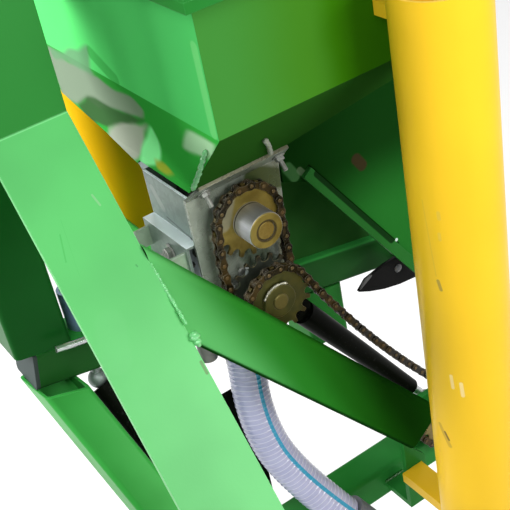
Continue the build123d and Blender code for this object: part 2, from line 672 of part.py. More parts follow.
# Post on the beam, top rail from the leg to the post, and the arm that carries the hopper
post_x = POST_RIGHT_X - POST_WIDTH / 2
post = rolled_tube((post_x, beam_y, RAIL_BOTTOM_Z), (post_x, beam_y, beam_top(post_x) - 30),
                   (1, 0, 0), POST_WIDTH, BEAM_DEPTH, BEAM_WALL, BEAM_CORNER)
save("post", post - below_beam_top(beam_y - 60, beam_y + 60))
rail_z = RAIL_BOTTOM_Z + RAIL_SIZE / 2
rail = rolled_tube((post_x, LEG_FRONT_Y + LEG_THICKNESS, rail_z), (post_x, BEAM_FRONT_Y + BEAM_DEPTH, rail_z),
                   (1, 0, 0), RAIL_SIZE, RAIL_SIZE, BEAM_WALL, BEAM_CORNER)
save("top_rail", rail)
arm_z = ARM_BOTTOM_Z + ARM_SIZE / 2
arm = rolled_tube((POST_RIGHT_X, beam_y, arm_z), (HOPPER_LEFT_X, beam_y, arm_z), (0, 1, 0),
                  ARM_SIZE, ARM_SIZE, BEAM_WALL, BEAM_CORNER)
save("hopper_arm", arm)

# Side rail along Y, notched over the cross beam, under the left tube
side_x = SIDE_RAIL_RIGHT_X - SIDE_RAIL_SIZE / 2
side_z = SIDE_RAIL_TOP_Z - SIDE_RAIL_SIZE / 2
side_rail = rolled_tube((side_x, BEAM_FRONT_Y, side_z), (side_x, SIDE_RAIL_BACK_Y, side_z), (1, 0, 0),
                        SIDE_RAIL_SIZE, SIDE_RAIL_SIZE, BEAM_WALL, BEAM_CORNER)
side_rail -= below_beam_top(BEAM_FRONT_Y - 10, BEAM_FRONT_Y + BEAM_DEPTH)
save("side_rail", side_rail)

# Panel under the hopper's floor, its edge bar, and the web behind it that stands on the beam
panel_slope = radians(PANEL_SLOPE)
notch_x = PANEL_LEFT_X + PANEL_NOTCH
notch_z = PANEL_NOTCH_Z - PANEL_NOTCH_DROP
panel_low_x = notch_x + (notch_z - PANEL_LOW_Z) / tan(panel_slope)
panel_points = [
    (PANEL_LEFT_X, floor_z(PANEL_LEFT_X)),
    (PANEL_LEFT_X, PANEL_NOTCH_Z),
    (notch_x, notch_z),
    (panel_low_x, PANEL_LOW_Z),
    (PANEL_RIGHT_X, PANEL_LOW_Z),
    (PANEL_RIGHT_X, floor_z(PANEL_RIGHT_X)),
]
save("back_panel", sheet_xz(panel_points, PANEL_Y, PANEL_Y + PANEL_THICKNESS))
bar_run = Vector(cos(panel_slope), 0, -sin(panel_slope))
bar_start = Vector(notch_x, PANEL_Y - BAR_THICKNESS / 2, notch_z) - BAR_RISE * bar_run
bar_plane = Plane(origin=bar_start, x_dir=Vector(sin(panel_slope), 0, cos(panel_slope)), z_dir=bar_run)
bar_face = bar_plane * Pos(BAR_WIDTH / 2 - BAR_LAP, 0) * Rectangle(BAR_WIDTH, BAR_THICKNESS)
save("panel_bar", extrude(bar_face, BAR_LENGTH))
web_points = [
    (WEB_LEFT_X, 30),
    (WEB_LEFT_X, beam_top(WEB_LEFT_X)),
    (WEB_FOOT_X, beam_top(WEB_FOOT_X)),
    (WEB_FOOT_X, WEB_FOOT_Z),
    (WEB_RIGHT_X, floor_z(WEB_RIGHT_X)),
    (PANEL_LEFT_X, floor_z(PANEL_LEFT_X)),
    (half_plate, 42),
]
save("support_web", sheet_xz(web_points, WEB_Y, WEB_Y + PANEL_THICKNESS))
hanger_x = HANGER_RIGHT_X - HANGER_WIDTH / 2
hanger = rolled_tube((hanger_x, beam_y, beam_top(hanger_x) - BEAM_HEIGHT / 2), (hanger_x, beam_y, HANGER_BOTTOM_Z),
                     (1, 0, 0), HANGER_WIDTH, BEAM_DEPTH, BEAM_WALL, BEAM_CORNER)
above = sheet_xz([(0, beam_top(0)), (300, beam_top(300)), (300, 400), (0, 400)], beam_y - 60, beam_y + 60)
hanger -= Pos(0, 0, -BEAM_HEIGHT / cos(pitch)) * above
save("hanger", hanger)

# Lower beam, the bracket that ties the brace's end to it, and the drive shaft's plate
low_y = LOWER_BEAM_FRONT_Y + LOWER_BEAM_SIZE / 2
low_z = LOWER_BEAM_TOP_Z - LOWER_BEAM_SIZE / 2
lower_beam = rolled_tube((LOWER_BEAM_LEFT_X, low_y, low_z), (LOWER_BEAM_RIGHT_X, low_y, low_z), (0, 0, 1),
                         LOWER_BEAM_SIZE, LOWER_BEAM_SIZE, BEAM_WALL, BEAM_CORNER)
save("lower_beam", lower_beam)
bracket_left = BRACKET_RIGHT_X - BRACKET_WIDTH
bracket = block(bracket_left, BRACKET_RIGHT_X, brace_y - BRACKET_THICKNESS / 2, brace_y + BRACKET_THICKNESS / 2,
                BRACKET_LOW_Z, -190)
bracket += block(bracket_left, BRACKET_RIGHT_X, brace_y - BRACKET_THICKNESS / 2, LOWER_BEAM_FRONT_Y,
                 BRACKET_LOW_Z, BRACKET_LOW_Z + BRACKET_THICKNESS)
underside = [(x, brace_top(x) - 2 * drop) for x in (-100, 300)]
bracket -= sheet_xz(underside + [(300, 200), (-100, 400)], brace_y - 40, brace_y + 40)
save("end_bracket", bracket)
shaft_plate = block(DRIVE_X - SHAFT_BRACKET_WIDTH / 2, DRIVE_X + SHAFT_BRACKET_WIDTH / 2, drive_bracket_y,
                    drive_bracket_y + BRACKET_THICKNESS, LOWER_BEAM_TOP_Z, DRIVE_Z + 30)
shaft_plate -= bar_y(DRIVE_SHAFT_D + 4, drive_bracket_y - 1, drive_bracket_y + BRACKET_THICKNESS + 1, DRIVE_X, DRIVE_Z)
save("drive_shaft_plate", shaft_plate)

# Flat guide that stands behind the hose, on a foot from the lower beam's back face
guide_back = GUIDE_Y + GUIDE_THICKNESS
guide_z = low_z - LOWER_BEAM_SIZE / 4
beam_back = LOWER_BEAM_FRONT_Y + LOWER_BEAM_SIZE
guide = block(LOWER_BEAM_LEFT_X, LOWER_BEAM_LEFT_X + GUIDE_WIDTH, GUIDE_Y, guide_back, guide_z, GUIDE_TOP_Z)
guide += block(LOWER_BEAM_LEFT_X, LOWER_BEAM_LEFT_X + GUIDE_WIDTH, beam_back, guide_back, guide_z, guide_z + GUIDE_FOOT)
save("hose_guide", guide)

# Yellow tubes, and the straps that hold them
half_tube = TUBE_D / 2


def yellow_tube(x, y, low, top):
    height = top - low
    wall = Cylinder(half_tube, height) - Cylinder(half_tube - TUBE_WALL, height + 2)
    return Pos(x, y, (low + top) / 2) * wall


save("right_tube", yellow_tube(RIGHT_TUBE_X, RIGHT_TUBE_Y, RIGHT_TUBE_LOW_Z, RIGHT_TUBE_TOP_Z))
save("left_tube", yellow_tube(LEFT_TUBE_X, LEFT_TUBE_Y, LEFT_TUBE_LOW_Z, LEFT_TUBE_TOP_Z))


def tube_clip(x, tube_y, wall, z):
    """Welded strap from a flat wall to a round tube."""
    strap = block(x - TUBE_BRACKET_WIDTH / 2, x + TUBE_BRACKET_WIDTH / 2, min(tube_y, wall), max(tube_y, wall),
                  z, z + TUBE_BRACKET_HEIGHT)
    return strap - Pos(x, tube_y, z) * Cylinder(half_tube, 200)


hopper_back_y = 2 * HOPPER_MIDDLE_Y - HOPPER_FRONT_Y
BRACKETS = [  # name, x, tube's y, wall's y, z
    ("right_tube_top_bracket", RIGHT_TUBE_X, RIGHT_TUBE_Y, HOPPER_FRONT_Y, 180.0),
    ("right_tube_low_bracket", RIGHT_TUBE_X, RIGHT_TUBE_Y, brace_y - BRACKET_THICKNESS / 2, RIGHT_TUBE_LOW_Z + 2),
    ("left_tube_bracket", LEFT_TUBE_X, LEFT_TUBE_Y, hopper_back_y, 180.0),
]
for name, x, tube_y, wall, z in BRACKETS:
    save(name, tube_clip(x, tube_y, wall, z))

# Spring strut: black body, steel rod, and a pin from the cross beam's face through its top eye
strut_run = Vector(cos(radians(STRUT_ANGLE)), 0, sin(radians(STRUT_ANGLE)))
strut_top = Vector(STRUT_TOP_X, STRUT_Y, STRUT_TOP_Z)


def strut_bar(start_diameter, end_diameter, start, length):
    plane = Plane(origin=strut_top + strut_run * (start + length / 2), z_dir=strut_run)
    if start_diameter == end_diameter:
        return plane * Cylinder(start_diameter / 2, length)
    return plane * Cone(start_diameter / 2, end_diameter / 2, length)


strut_eye = bar_y(STRUT_EYE_D, STRUT_Y - 8, STRUT_Y + 8, STRUT_TOP_X, STRUT_TOP_Z)
strut_eye -= bar_y(STRUT_PIN_D + 0.4, STRUT_Y - 20, STRUT_Y + 20, STRUT_TOP_X, STRUT_TOP_Z)
strut_body = strut_bar(STRUT_TOP_D, STRUT_LOW_D, STRUT_EYE_D / 2, STRUT_BODY_LENGTH - STRUT_EYE_D / 2)
strut_body -= bar_y(STRUT_EYE_D, STRUT_Y - 20, STRUT_Y + 20, STRUT_TOP_X, STRUT_TOP_Z)
save("strut_body", strut_body + strut_eye)
foot = strut_top + strut_run * (STRUT_BODY_LENGTH + STRUT_ROD_LENGTH)
strut_rod = strut_bar(STRUT_ROD_D, STRUT_ROD_D, STRUT_BODY_LENGTH, STRUT_ROD_LENGTH)
strut_rod += bar_y(STRUT_FOOT_D, STRUT_Y - 7, STRUT_Y + 7, foot.X, foot.Z)
save("strut_rod", strut_rod - bar_y(STRUT_PIN_D + 0.4, STRUT_Y - 20, STRUT_Y + 20, foot.X, foot.Z))
save("strut_pin", bar_y(STRUT_PIN_D, STRUT_Y - 12, BEAM_FRONT_Y, STRUT_TOP_X, STRUT_TOP_Z))
save("strut_lug", bar_y(STRUT_PIN_D, beam_back, STRUT_Y + 12, foot.X, foot.Z))

# Hose and its cuff
HOSE_ROUTE = [
    (SPOUT_X, spout_y, -66.0),
    (-12.4, 35.8, -150.0),
    (-28.2, 18.7, -228.0),
    (-16.3, -4.7, -300.0),
    (22.3, -38.5, -365.0),
]


def cord_path(route):
    points = [Vector(*p) for p in route]
    runs = [(b - a).length for a, b in zip(points, points[1:])]
    radii = []
    for i in range(1, len(points) - 1):
        turn = radians((points[i] - points[i - 1]).get_angle(points[i + 1] - points[i]))
        radii.append(0.45 * min(runs[i - 1], runs[i]) / tan(turn / 2))
    print("hose radii", [round(r) for r in radii])
    return FilletPolyline(*points, radius=radii)


hose_path = cord_path(HOSE_ROUTE)
bore = SPOUT_D + 2 * HOSE_BORE_CLEARANCE
hose = sweep(Plane(origin=hose_path @ 0, z_dir=hose_path % 0) * Circle(HOSE_D / 2), hose_path)
hose -= Pos(SPOUT_X, spout_y, BOX_BOTTOM_Z - SPOUT_LENGTH / 2) * Cylinder(bore / 2, SPOUT_LENGTH + 1)
save("hose", hose)
cuff_plane = Plane(origin=hose_path @ 1, z_dir=hose_path % 1)
save("hose_cuff", extrude(cuff_plane * Circle(CUFF_D / 2), CUFF_LENGTH))

# Low left corner: control rod through an ear on the beam, diagonal tube and second strut under its end
rod_start = Vector(ROD_LEFT_X, ROD_Y, beam_top(ROD_LEFT_X) + ROD_HEIGHT)
rod_run = Vector(cos(pitch), 0, -sin(pitch))
rod_length = (ROD_RIGHT_X - ROD_LEFT_X) / cos(pitch)
save("control_rod", extrude(Plane(origin=rod_start, z_dir=rod_run) * Circle(ROD_D / 2), rod_length))
ear = block(EAR_X - 3, EAR_X + 3, ROD_Y - 9, BEAM_FRONT_Y + 14, beam_top(EAR_X) - 10, beam_top(EAR_X) + ROD_HEIGHT + 8)
ear -= below_beam_top(BEAM_FRONT_Y, BEAM_FRONT_Y + 20)
ear -= extrude(Plane(origin=rod_start, z_dir=rod_run) * Circle(ROD_D / 2 + 0.2), rod_length)
save("rod_ear", ear)

diagonal_run = Vector(*DIAGONAL_RUN).normalized()
diagonal_start = Vector(*DIAGONAL_START)
diagonal = rolled_tube(diagonal_start - diagonal_run * 60, diagonal_start + diagonal_run * DIAGONAL_LENGTH,
                       (0, -diagonal_run.Z, diagonal_run.Y), DIAGONAL_SIZE, DIAGONAL_SIZE, BEAM_WALL, BEAM_CORNER)
beam_bottom = BEAM_HEIGHT / cos(pitch)
over = [(x, beam_top(x) - beam_bottom) for x in (-400, 0)] + [(0, 200), (-400, 200)]
save("diagonal_tube", diagonal - sheet_xz(over, -200, 400))
ball_at = Vector(*BALL_AT)
strut_2 = extrude(Plane(origin=ball_at + diagonal_run * (BALL_D / 2 - 2), z_dir=diagonal_run)
                  * Circle(SECOND_STRUT_D / 2), SECOND_STRUT_LENGTH)
save("second_strut", strut_2)
ball = Pos(*BALL_AT) * Sphere(BALL_D / 2)
ball += Pos(BALL_AT[0], BALL_AT[1], 0) * Cylinder(BALL_STEM_D / 2, 2 * abs(BALL_AT[2]))
ball -= sheet_xz(over, -200, 400)
ball -= block(-400, 400, -400, 400, -400, BALL_AT[2] - BALL_D / 2)
save("strut_ball", ball - strut_2)

# Socket tube on the cross beam, beside the post
socket_low = beam_top(SOCKET_X) - 10
socket_top = beam_top(SOCKET_X) + SOCKET_HEIGHT
socket = Cylinder(SOCKET_D / 2, socket_top - socket_low) - Cylinder(SOCKET_D / 2 - SOCKET_WALL, 200)
socket = Pos(SOCKET_X, beam_y, (socket_low + socket_top) / 2) * socket
save("beam_socket", socket - below_beam_top(beam_y - 60, beam_y + 60))

# Black cover low on the right, on a web from the cross beam's face
cover_back = COVER_Y + COVER_THICKNESS
cover = sheet_xz(COVER_OUTLINE, COVER_Y, cover_back)
web_low, web_top = COVER_OUTLINE[5][1], COVER_OUTLINE[4][1]
cover += block(COVER_WEB_X, COVER_WEB_X + COVER_THICKNESS, cover_back, BEAM_FRONT_Y, web_low, web_top)
save("side_cover", cover)
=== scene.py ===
from math import atan2, cos, hypot, pi, radians, sin

import bmesh
import bpy
from mathutils import Matrix, Vector


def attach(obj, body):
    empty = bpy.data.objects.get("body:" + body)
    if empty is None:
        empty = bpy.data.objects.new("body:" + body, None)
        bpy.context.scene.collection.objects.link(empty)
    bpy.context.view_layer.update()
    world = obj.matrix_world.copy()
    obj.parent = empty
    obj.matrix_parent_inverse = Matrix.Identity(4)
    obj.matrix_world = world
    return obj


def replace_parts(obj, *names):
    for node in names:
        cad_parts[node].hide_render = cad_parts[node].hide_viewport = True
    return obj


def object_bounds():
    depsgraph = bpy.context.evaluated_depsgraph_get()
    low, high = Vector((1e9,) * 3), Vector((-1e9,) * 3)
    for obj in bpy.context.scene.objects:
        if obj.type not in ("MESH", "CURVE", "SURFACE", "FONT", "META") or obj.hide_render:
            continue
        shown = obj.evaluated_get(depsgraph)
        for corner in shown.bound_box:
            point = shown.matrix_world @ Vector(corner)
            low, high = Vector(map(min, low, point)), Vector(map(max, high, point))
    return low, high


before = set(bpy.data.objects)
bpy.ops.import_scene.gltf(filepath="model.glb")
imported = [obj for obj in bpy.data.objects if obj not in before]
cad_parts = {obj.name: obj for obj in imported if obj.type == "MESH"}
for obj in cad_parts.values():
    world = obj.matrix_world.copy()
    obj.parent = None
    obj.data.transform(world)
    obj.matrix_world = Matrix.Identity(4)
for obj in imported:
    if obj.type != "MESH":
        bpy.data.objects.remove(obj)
cad_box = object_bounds()


# The view of the drive: a long lens held by hand between the frame members,
# looking down past the leg from the left, and tilted a little.
VIEW_AZIMUTH = radians(-27.78)
VIEW_ELEVATION = radians(33.22)
VIEW_TILT = radians(-11.83)
VIEW_LENS = 75.91
VIEW_PLACE = Vector((-0.21635, -0.73598, 0.13455))

back = Vector((
    sin(VIEW_AZIMUTH) * cos(VIEW_ELEVATION),
    -cos(VIEW_AZIMUTH) * cos(VIEW_ELEVATION),
    sin(VIEW_ELEVATION),
))
level_right = Vector((0, 0, 1)).cross(back).normalized()
level_up = back.cross(level_right)
view_right = cos(VIEW_TILT) * level_right + sin(VIEW_TILT) * level_up
view_up = cos(VIEW_TILT) * level_up - sin(VIEW_TILT) * level_right
camera = bpy.data.objects.new("drive_view", bpy.data.cameras.new("drive_view"))
camera.data.lens = VIEW_LENS
camera.data.clip_start = 0.01
view_turn = Matrix((view_right, view_up, back)).transposed().to_4x4()
camera.matrix_world = Matrix.Translation(VIEW_PLACE) @ view_turn
bpy.context.scene.collection.objects.link(camera)
bpy.context.scene.camera = camera
bpy.context.scene.view_settings.view_transform = "Standard"


# The clear feed hose: soft PVC with a spiral of stiff white wire in its wall and one
# blue line along it. It is pushed over the spout and bends forward under the drive.
HOSE_ROUTE = [
    (0.142, 0.0315, -0.421),
    (0.1476, 0.0148, -0.505),
    (0.1318, -0.0023, -0.583),
    (0.1437, -0.0257, -0.655),
    (0.1823, -0.0595, -0.720),
]
HOSE_RADIUS = 0.019
HOSE_SIDES = 72
HOSE_RING_GAP = 0.0008
HOSE_SPIRAL_PITCH = 0.0052
HOSE_SPIRAL_HEIGHT = 0.00045
HOSE_FLARE = 0.0022
HOSE_FLARE_LENGTH = 0.008
HOSE_TINT = (0.52, 0.53, 0.74)
HOSE_SHADE = (0.35, 0.37, 0.58)
HOSE_WIRE = (0.85, 0.86, 0.95)
HOSE_LINE = (0.001, 0.33, 0.56)
HOSE_LINE_TURN = 0.515
HOSE_LINE_TWIST = 0.22
HOSE_LINE_WIDTH = 0.022


class Socket:
    """A node's output, so that shader maths reads as arithmetic."""

    def __init__(self, nodes, link):
        self.nodes = nodes
        self.link = link

    def maths(self, operation, first, second=0.0):
        return self.nodes.node("Math", {"operation": operation}, {0: first, 1: second})

    def __add__(self, other):
        return self.maths("ADD", self, other)

    def __radd__(self, other):
        return self.maths("ADD", other, self)

    def __sub__(self, other):
        return self.maths("SUBTRACT", self, other)

    def __rsub__(self, other):
        return self.maths("SUBTRACT", other, self)

    def __mul__(self, other):
        return self.maths("MULTIPLY", self, other)

    def __rmul__(self, other):
        return self.maths("MULTIPLY", other, self)

    def __truediv__(self, other):
        return self.maths("DIVIDE", self, other)

    def __abs__(self):
        return self.maths("ABSOLUTE", self)

    def __mod__(self, other):
        return self.maths("FLOORED_MODULO", self, other)

    def most(self, other):
        return self.maths("MAXIMUM", self, other)


class Nodes:
    """A node tree and the few ways of adding to it."""

    def __init__(self, tree):
        self.tree = tree

    def node(self, kind, settings=None, sockets=None, out=0):
        made = self.tree.nodes.new("ShaderNode" + kind)
        for name, value in (settings or {}).items():
            setattr(made, name, value)
        for name, value in (sockets or {}).items():
            self.feed(made.inputs[name], value)
        return Socket(self, made.outputs[out])

    def feed(self, target, value):
        if isinstance(value, Socket):
            self.tree.links.new(value.link, target)
        elif isinstance(value, tuple) and target.type == "RGBA":
            target.default_value = (*value, 1.0)
        else:
            target.default_value = value

    def vector(self, operation, first, second, out=0):
        return self.node("VectorMath", {"operation": operation}, {0: first, 1: second}, out=out)

    def unseen(self):
        """1 for the rays that show the background: the camera's, reflections and glass."""
        camera_ray = self.node("LightPath", out="Is Camera Ray")
        mirror_ray = self.node("LightPath", out="Is Glossy Ray")
        glass_ray = self.node("LightPath", out="Is Transmission Ray")
        return camera_ray.most(mirror_ray).most(glass_ray)


class Finish(Nodes):
    """A material under construction."""

    def __init__(self, name, specular=0.5):
        self.material = bpy.data.materials.new(name)
        self.material.use_nodes = True
        super().__init__(self.material.node_tree)
        self.shader = self.tree.nodes["Principled BSDF"]
        self.shader.inputs["Specular IOR Level"].default_value = specular

    def set(self, **inputs):
        """Values or links of the shader's own sockets, with _ for a space in the name."""
        for name, value in inputs.items():
            self.feed(self.shader.inputs[name.replace("_", " ")], value)
        return self

    def place(self):
        return self.node("TexCoord", out="Object")

    def part(self, axis):
        return self.node("SeparateXYZ", None, {0: self.place()}, out=axis)

    def blend(self, mask, first, second):
        """first where mask is 0, second where it is 1."""
        return self.node("Mix", {"data_type": "RGBA"}, {0: mask, 6: first, 7: second}, out=2)

    def facing(self, axis, normal="Normal"):
        """How far the surface faces along an axis, from -1 to 1."""
        return self.node("SeparateXYZ", None, {0: self.node("NewGeometry", out=normal)}, out=axis)

    def noise(self, scale, detail=2.0, stretch=None):
        place = self.place()
        if stretch:
            place = self.vector("MULTIPLY", place, stretch)
        return self.node("TexNoise", None, {"Vector": place, "Scale": scale, "Detail": detail})

    def step(self, value, low, high):
        """0 at low, 1 at high, and smooth between them."""
        return self.node("MapRange", {"interpolation_type": "SMOOTHSTEP"}, {0: value, 1: low, 2: high})

    def stroke(self, start, end, width, soft=0.35):
        """A soft line from start to end on the object, width to each side."""
        run = Vector(end) - Vector(start)
        away = self.vector("SUBTRACT", self.place(), start)
        along = self.vector("DOT_PRODUCT", away, tuple(run / run.length_squared), out=1)
        along = self.node("Clamp", None, {0: along})
        foot = self.node("VectorMath", {"operation": "SCALE"}, {0: tuple(run), "Scale": along})
        return self.step(self.vector("DISTANCE", away, foot, out=1), width, width * (1 - soft))

    def patch(self, corners, soft=0.0038):
        """A soft-edged patch with straightish sides; its corners (y, z) go round in order."""
        wander = (self.noise(32.0, 0.0) - 0.5) * 0.010
        mid_y, mid_z = (sum(corner[axis] for corner in corners) / len(corners) for axis in (0, 1))
        mask = 1.0
        for (y, z), (next_y, next_z) in zip(corners, corners[1:] + corners[:1]):
            inward = Vector((0.0, z - next_z, next_y - y)).normalized()
            if inward.y * (mid_y - y) + inward.z * (mid_z - z) < 0:
                inward = inward * -1.0
            border = inward.y * y + inward.z * z
            inside = self.vector("DOT_PRODUCT", self.place(), tuple(inward), out=1) + wander
            mask = self.step(inside, border - soft, border + soft) * mask
        return mask

    def worn_edges(self, radius, low=0.97, high=0.85):
        """1 on edges, where a rounded normal leaves the true one."""
        rounded = self.node("Bevel", {"samples": 4}, {"Radius": radius})
        plain = self.node("NewGeometry", out="Normal")
        return self.step(self.vector("DOT_PRODUCT", rounded, plain, out=1), low, high)

    def rounded(self, radius, height=None, strength=0.2, distance=0.001):
        """Normal with edges softened by radius, and a bump over it."""
        edge = self.node("Bevel", {"samples": 4}, {"Radius": radius})
        if height is None:
            return edge
        return self.node("Bump", None, {
            "Strength": strength, "Distance": distance, "Height": height, "Normal": edge})


def piece(name, mesh, body, finish):
    """Puts a bmesh in the scene as a piece that rides on a body."""
    bmesh.ops.recalc_face_normals(mesh, faces=mesh.faces)
    made = bpy.data.meshes.new(name)
    mesh.to_mesh(made)
    mesh.free()
    made.shade_smooth()
    made.set_sharp_from_angle(angle=radians(35))
    made.materials.append(finish.material)
    thing = bpy.data.objects.new(name, made)
    bpy.context.scene.collection.objects.link(thing)
    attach(thing, body)
    return thing


def smooth_line(route):
    """Points along the route's own NURBS spline."""
    curve = bpy.data.curves.new("line", "CURVE")
    curve.dimensions = "3D"
    spline = curve.splines.new("NURBS")
    spline.points.add(len(route) - 1)
    for point, place in zip(spline.points, route):
        point.co = (*place, 1.0)
    spline.order_u = 3
    spline.use_endpoint_u = True
    spline.resolution_u = 24
    carrier = bpy.data.objects.new("line", curve)
    bpy.context.scene.collection.objects.link(carrier)
    mesh = bpy.data.meshes.new_from_object(carrier)
    points = [vertex.co.copy() for vertex in mesh.vertices]
    bpy.data.objects.remove(carrier)
    bpy.data.meshes.remove(mesh)
    return points


def evenly(points, gap):
    """The same line with points a fixed gap apart."""
    spaced, left = [points[0]], gap
    for a, b in zip(points, points[1:]):
        run = (b - a).length
        at = left
        while at <= run:
            spaced.append(a.lerp(b, at / run))
            at += gap
        left = at - run
    return spaced


def line_length(points):
    return sum((b - a).length for a, b in zip(points, points[1:]))


def skin(mesh, rings, ends=True):
    """Faces from each ring of points to the next, and over both ends; gives back those between."""
    faces = []
    for near, far in zip(rings, rings[1:]):
        for step in range(len(near)):
            following = (step + 1) % len(near)
            faces.append(mesh.faces.new((near[step], near[following], far[following], far[step])))
    if ends:
        mesh.faces.new(rings[0])
        mesh.faces.new(rings[-1])
    return faces


def tube_along(mesh, points, sides, reach, first_side):
    """Rings round a line: reach(turn, along) gives the radius, and turn 0 is at first_side."""
    around = mesh.loops.layers.uv.verify()
    rings, distances, along = [], [], 0.0
    side = Vector(first_side)
    for index, point in enumerate(points):
        ahead = (points[min(index + 1, len(points) - 1)] - points[max(index - 1, 0)]).normalized()
        side = (side - ahead * side.dot(ahead)).normalized()
        across = ahead.cross(side)
        if index:
            along += (point - points[index - 1]).length
        ring = []
        for step in range(sides):
            turn = step / sides
            out = side * cos(2 * pi * turn) + across * sin(2 * pi * turn)
            ring.append(mesh.verts.new(point + out * reach(turn, along)))
        rings.append(ring)
        distances.append(along)
    for index, face in enumerate(skin(mesh, rings)):
        row, step = divmod(index, sides)
        near, far = distances[row], distances[row + 1]
        corners = ((step, near), (step + 1, near), (step + 1, far), (step, far))
        for loop, (corner, distance) in zip(face.loops, corners):
            loop[around].uv = (corner / sides, distance)


def hose_reach(turn, along):
    rib = max(0.0, cos(2 * pi * (along / HOSE_SPIRAL_PITCH + turn))) ** 2
    flare = HOSE_FLARE * max(0.0, 1 - along / HOSE_FLARE_LENGTH)
    return HOSE_RADIUS - HOSE_SPIRAL_HEIGHT * (1 - rib) + flare


hose_points = evenly(smooth_line(HOSE_ROUTE), HOSE_RING_GAP)
hose_finish = Finish("hose_pvc")
hose_uv = hose_finish.node("UVMap")
hose_turn = hose_finish.node("SeparateXYZ", None, {0: hose_uv}, out=0)
hose_along = hose_finish.node("SeparateXYZ", None, {0: hose_uv}, out=1)
wire = hose_finish.step(abs((hose_along / HOSE_SPIRAL_PITCH + hose_turn) % 1.0 - 0.5), 0.40, 0.48)
off_line = abs(hose_turn + hose_along * HOSE_LINE_TWIST - HOSE_LINE_TURN)
blue_line = hose_finish.step(off_line, HOSE_LINE_WIDTH, HOSE_LINE_WIDTH * 0.7)
cloud = hose_finish.noise(60.0)
hose_tone = hose_finish.blend(cloud, HOSE_TINT, HOSE_SHADE)
hose_tone = hose_finish.blend(wire * 0.55, hose_tone, HOSE_WIRE)
hose_tone = hose_finish.blend(blue_line * 0.95, hose_tone, HOSE_LINE)
hose_finish.set(Base_Color=hose_tone, Roughness=0.16 + 0.1 * cloud, Coat_Weight=0.3, Coat_Roughness=0.08)
hose_mesh = bmesh.new()
tube_along(hose_mesh, hose_points, HOSE_SIDES, hose_reach, (0, 1, 0))
hose = piece("feed_hose", hose_mesh, "frame", hose_finish)
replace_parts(hose, "hose")
hose_length = line_length(hose_points)
hose_points[::6] + [hose_points[-1]]


# The moulded cuff on the hose's far end, of dull grey PVC with fine ribs all round. It is
# pushed over the hose.
CUFF_GREY = (0.10, 0.11, 0.13)
CUFF_PALE = (0.16, 0.17, 0.20)
CUFF_RIBS = 300.0  # in a metre


def coat(finish, *nodes):
    """Gives CAD nodes this finish."""
    for name in nodes:
        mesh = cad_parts[name].data
        mesh.materials.clear()
        mesh.materials.append(finish.material)


cuff_finish = Finish("cuff_pvc")
ribs = abs((cuff_finish.part("Z") * CUFF_RIBS) % 1.0 - 0.5)
cuff_finish.set(Base_Color=cuff_finish.blend(cuff_finish.noise(80.0), CUFF_GREY, CUFF_PALE),
                Roughness=0.45, Normal=cuff_finish.rounded(0.001, ribs, 0.3))
coat(cuff_finish, "hose_cuff")


# The leg: an angle section, folded forward at its knee and sprayed with gloss green
# enamel. Handling has left fine scratches, pale rubs and a few dark marks in it. Above the
# knee it is painted darker as painted shade, a painted highlight runs along the fold, and
# its edges are painted paler as painted highlight.
LEAF_GREEN = (0.115, 0.55, 0.150)
LEG_PAINTED_SHADE = (0.023, 0.22, 0.031)
LEAF_EDGE_HIGHLIGHT = (0.30, 0.80, 0.36)
LEG_KNEE_Z = -0.201
LEG_MARKS = [  # start, end (mm from the metering sprocket's middle), half width mm, tone, strength
    ((-139.5, -26.0, 101.5), (-137.7, -32.0, 94.1), 1.0, (0.36, 0.52, 0.34), 0.4),
    ((-135.4, -65.1, 52.7), (-135.0, -66.0, 51.5), 0.7, (0.02, 0.16, 0.05), 0.5),
    ((-176.0, -36.6, 88.3), (-181.8, -49.2, 72.7), 0.7, (0.05, 0.42, 0.08), 0.5),
    ((-170.0, -30.0, 96.0), (-178.0, -58.0, 61.0), 0.5, (0.06, 0.44, 0.09), 0.4),
    ((-175.0, -84.5, 28.5), (-183.0, -100.0, 9.0), 14.0, (0.26, 0.62, 0.32), 0.04),
    ((-127.0, -120.2, -16.0), (-127.0, -126.1, -23.4), 1.5, (0.10, 0.12, 0.04), 0.6),
]


def spot(x, y, z):
    """Place in metres of a point in millimetres from the middle of the metering sprocket."""
    return Vector((0.160 + x / 1000, -0.021 + y / 1000, -0.355 + z / 1000))


def marked(finish, colour, marks):
    """Lays strokes over a colour: rubs, scratches, smudges, rust, and painted highlights, glints and shadows.
    """
    for start, end, width, tone, strength in marks:
        mask = finish.stroke(tuple(spot(*start)), tuple(spot(*end)), width / 1000)
        colour = finish.blend(mask * strength, colour, tone)
    return colour


def enamel_film(finish, rough=0.25):
    """Gloss paint's sheen and fine orange peel; gives back its broad unevenness."""
    broad = finish.noise(7.0, 3.0)
    orange_peel = finish.noise(420.0, 2.0)
    finish.set(Roughness=rough + 0.15 * broad, Normal=finish.rounded(0.0009, orange_peel, 0.05))
    return broad


def enamel(finish, tone, shade, edge_highlight=None):
    """Gloss paint over rolled steel, uneven from tone to shade, and painted paler on its edges as painted
    highlight.
    """
    colour = finish.blend(finish.step(enamel_film(finish), 0.35, 0.7), tone, shade)
    if edge_highlight:
        # Painted highlight: a paler green on the edges.
        colour = finish.blend(finish.worn_edges(0.0012) * 0.55, colour, edge_highlight)
    return colour


leg_finish = Finish("leg_enamel", 0.2)
leg_tone = enamel(leg_finish, LEAF_GREEN, tuple(0.82 * c for c in LEAF_GREEN), LEAF_EDGE_HIGHLIGHT)
over_knee = leg_finish.part("Z") - LEG_KNEE_Z
knee_painted_highlight = leg_finish.step(abs(over_knee + 0.0010), 0.0005, 0.0002)
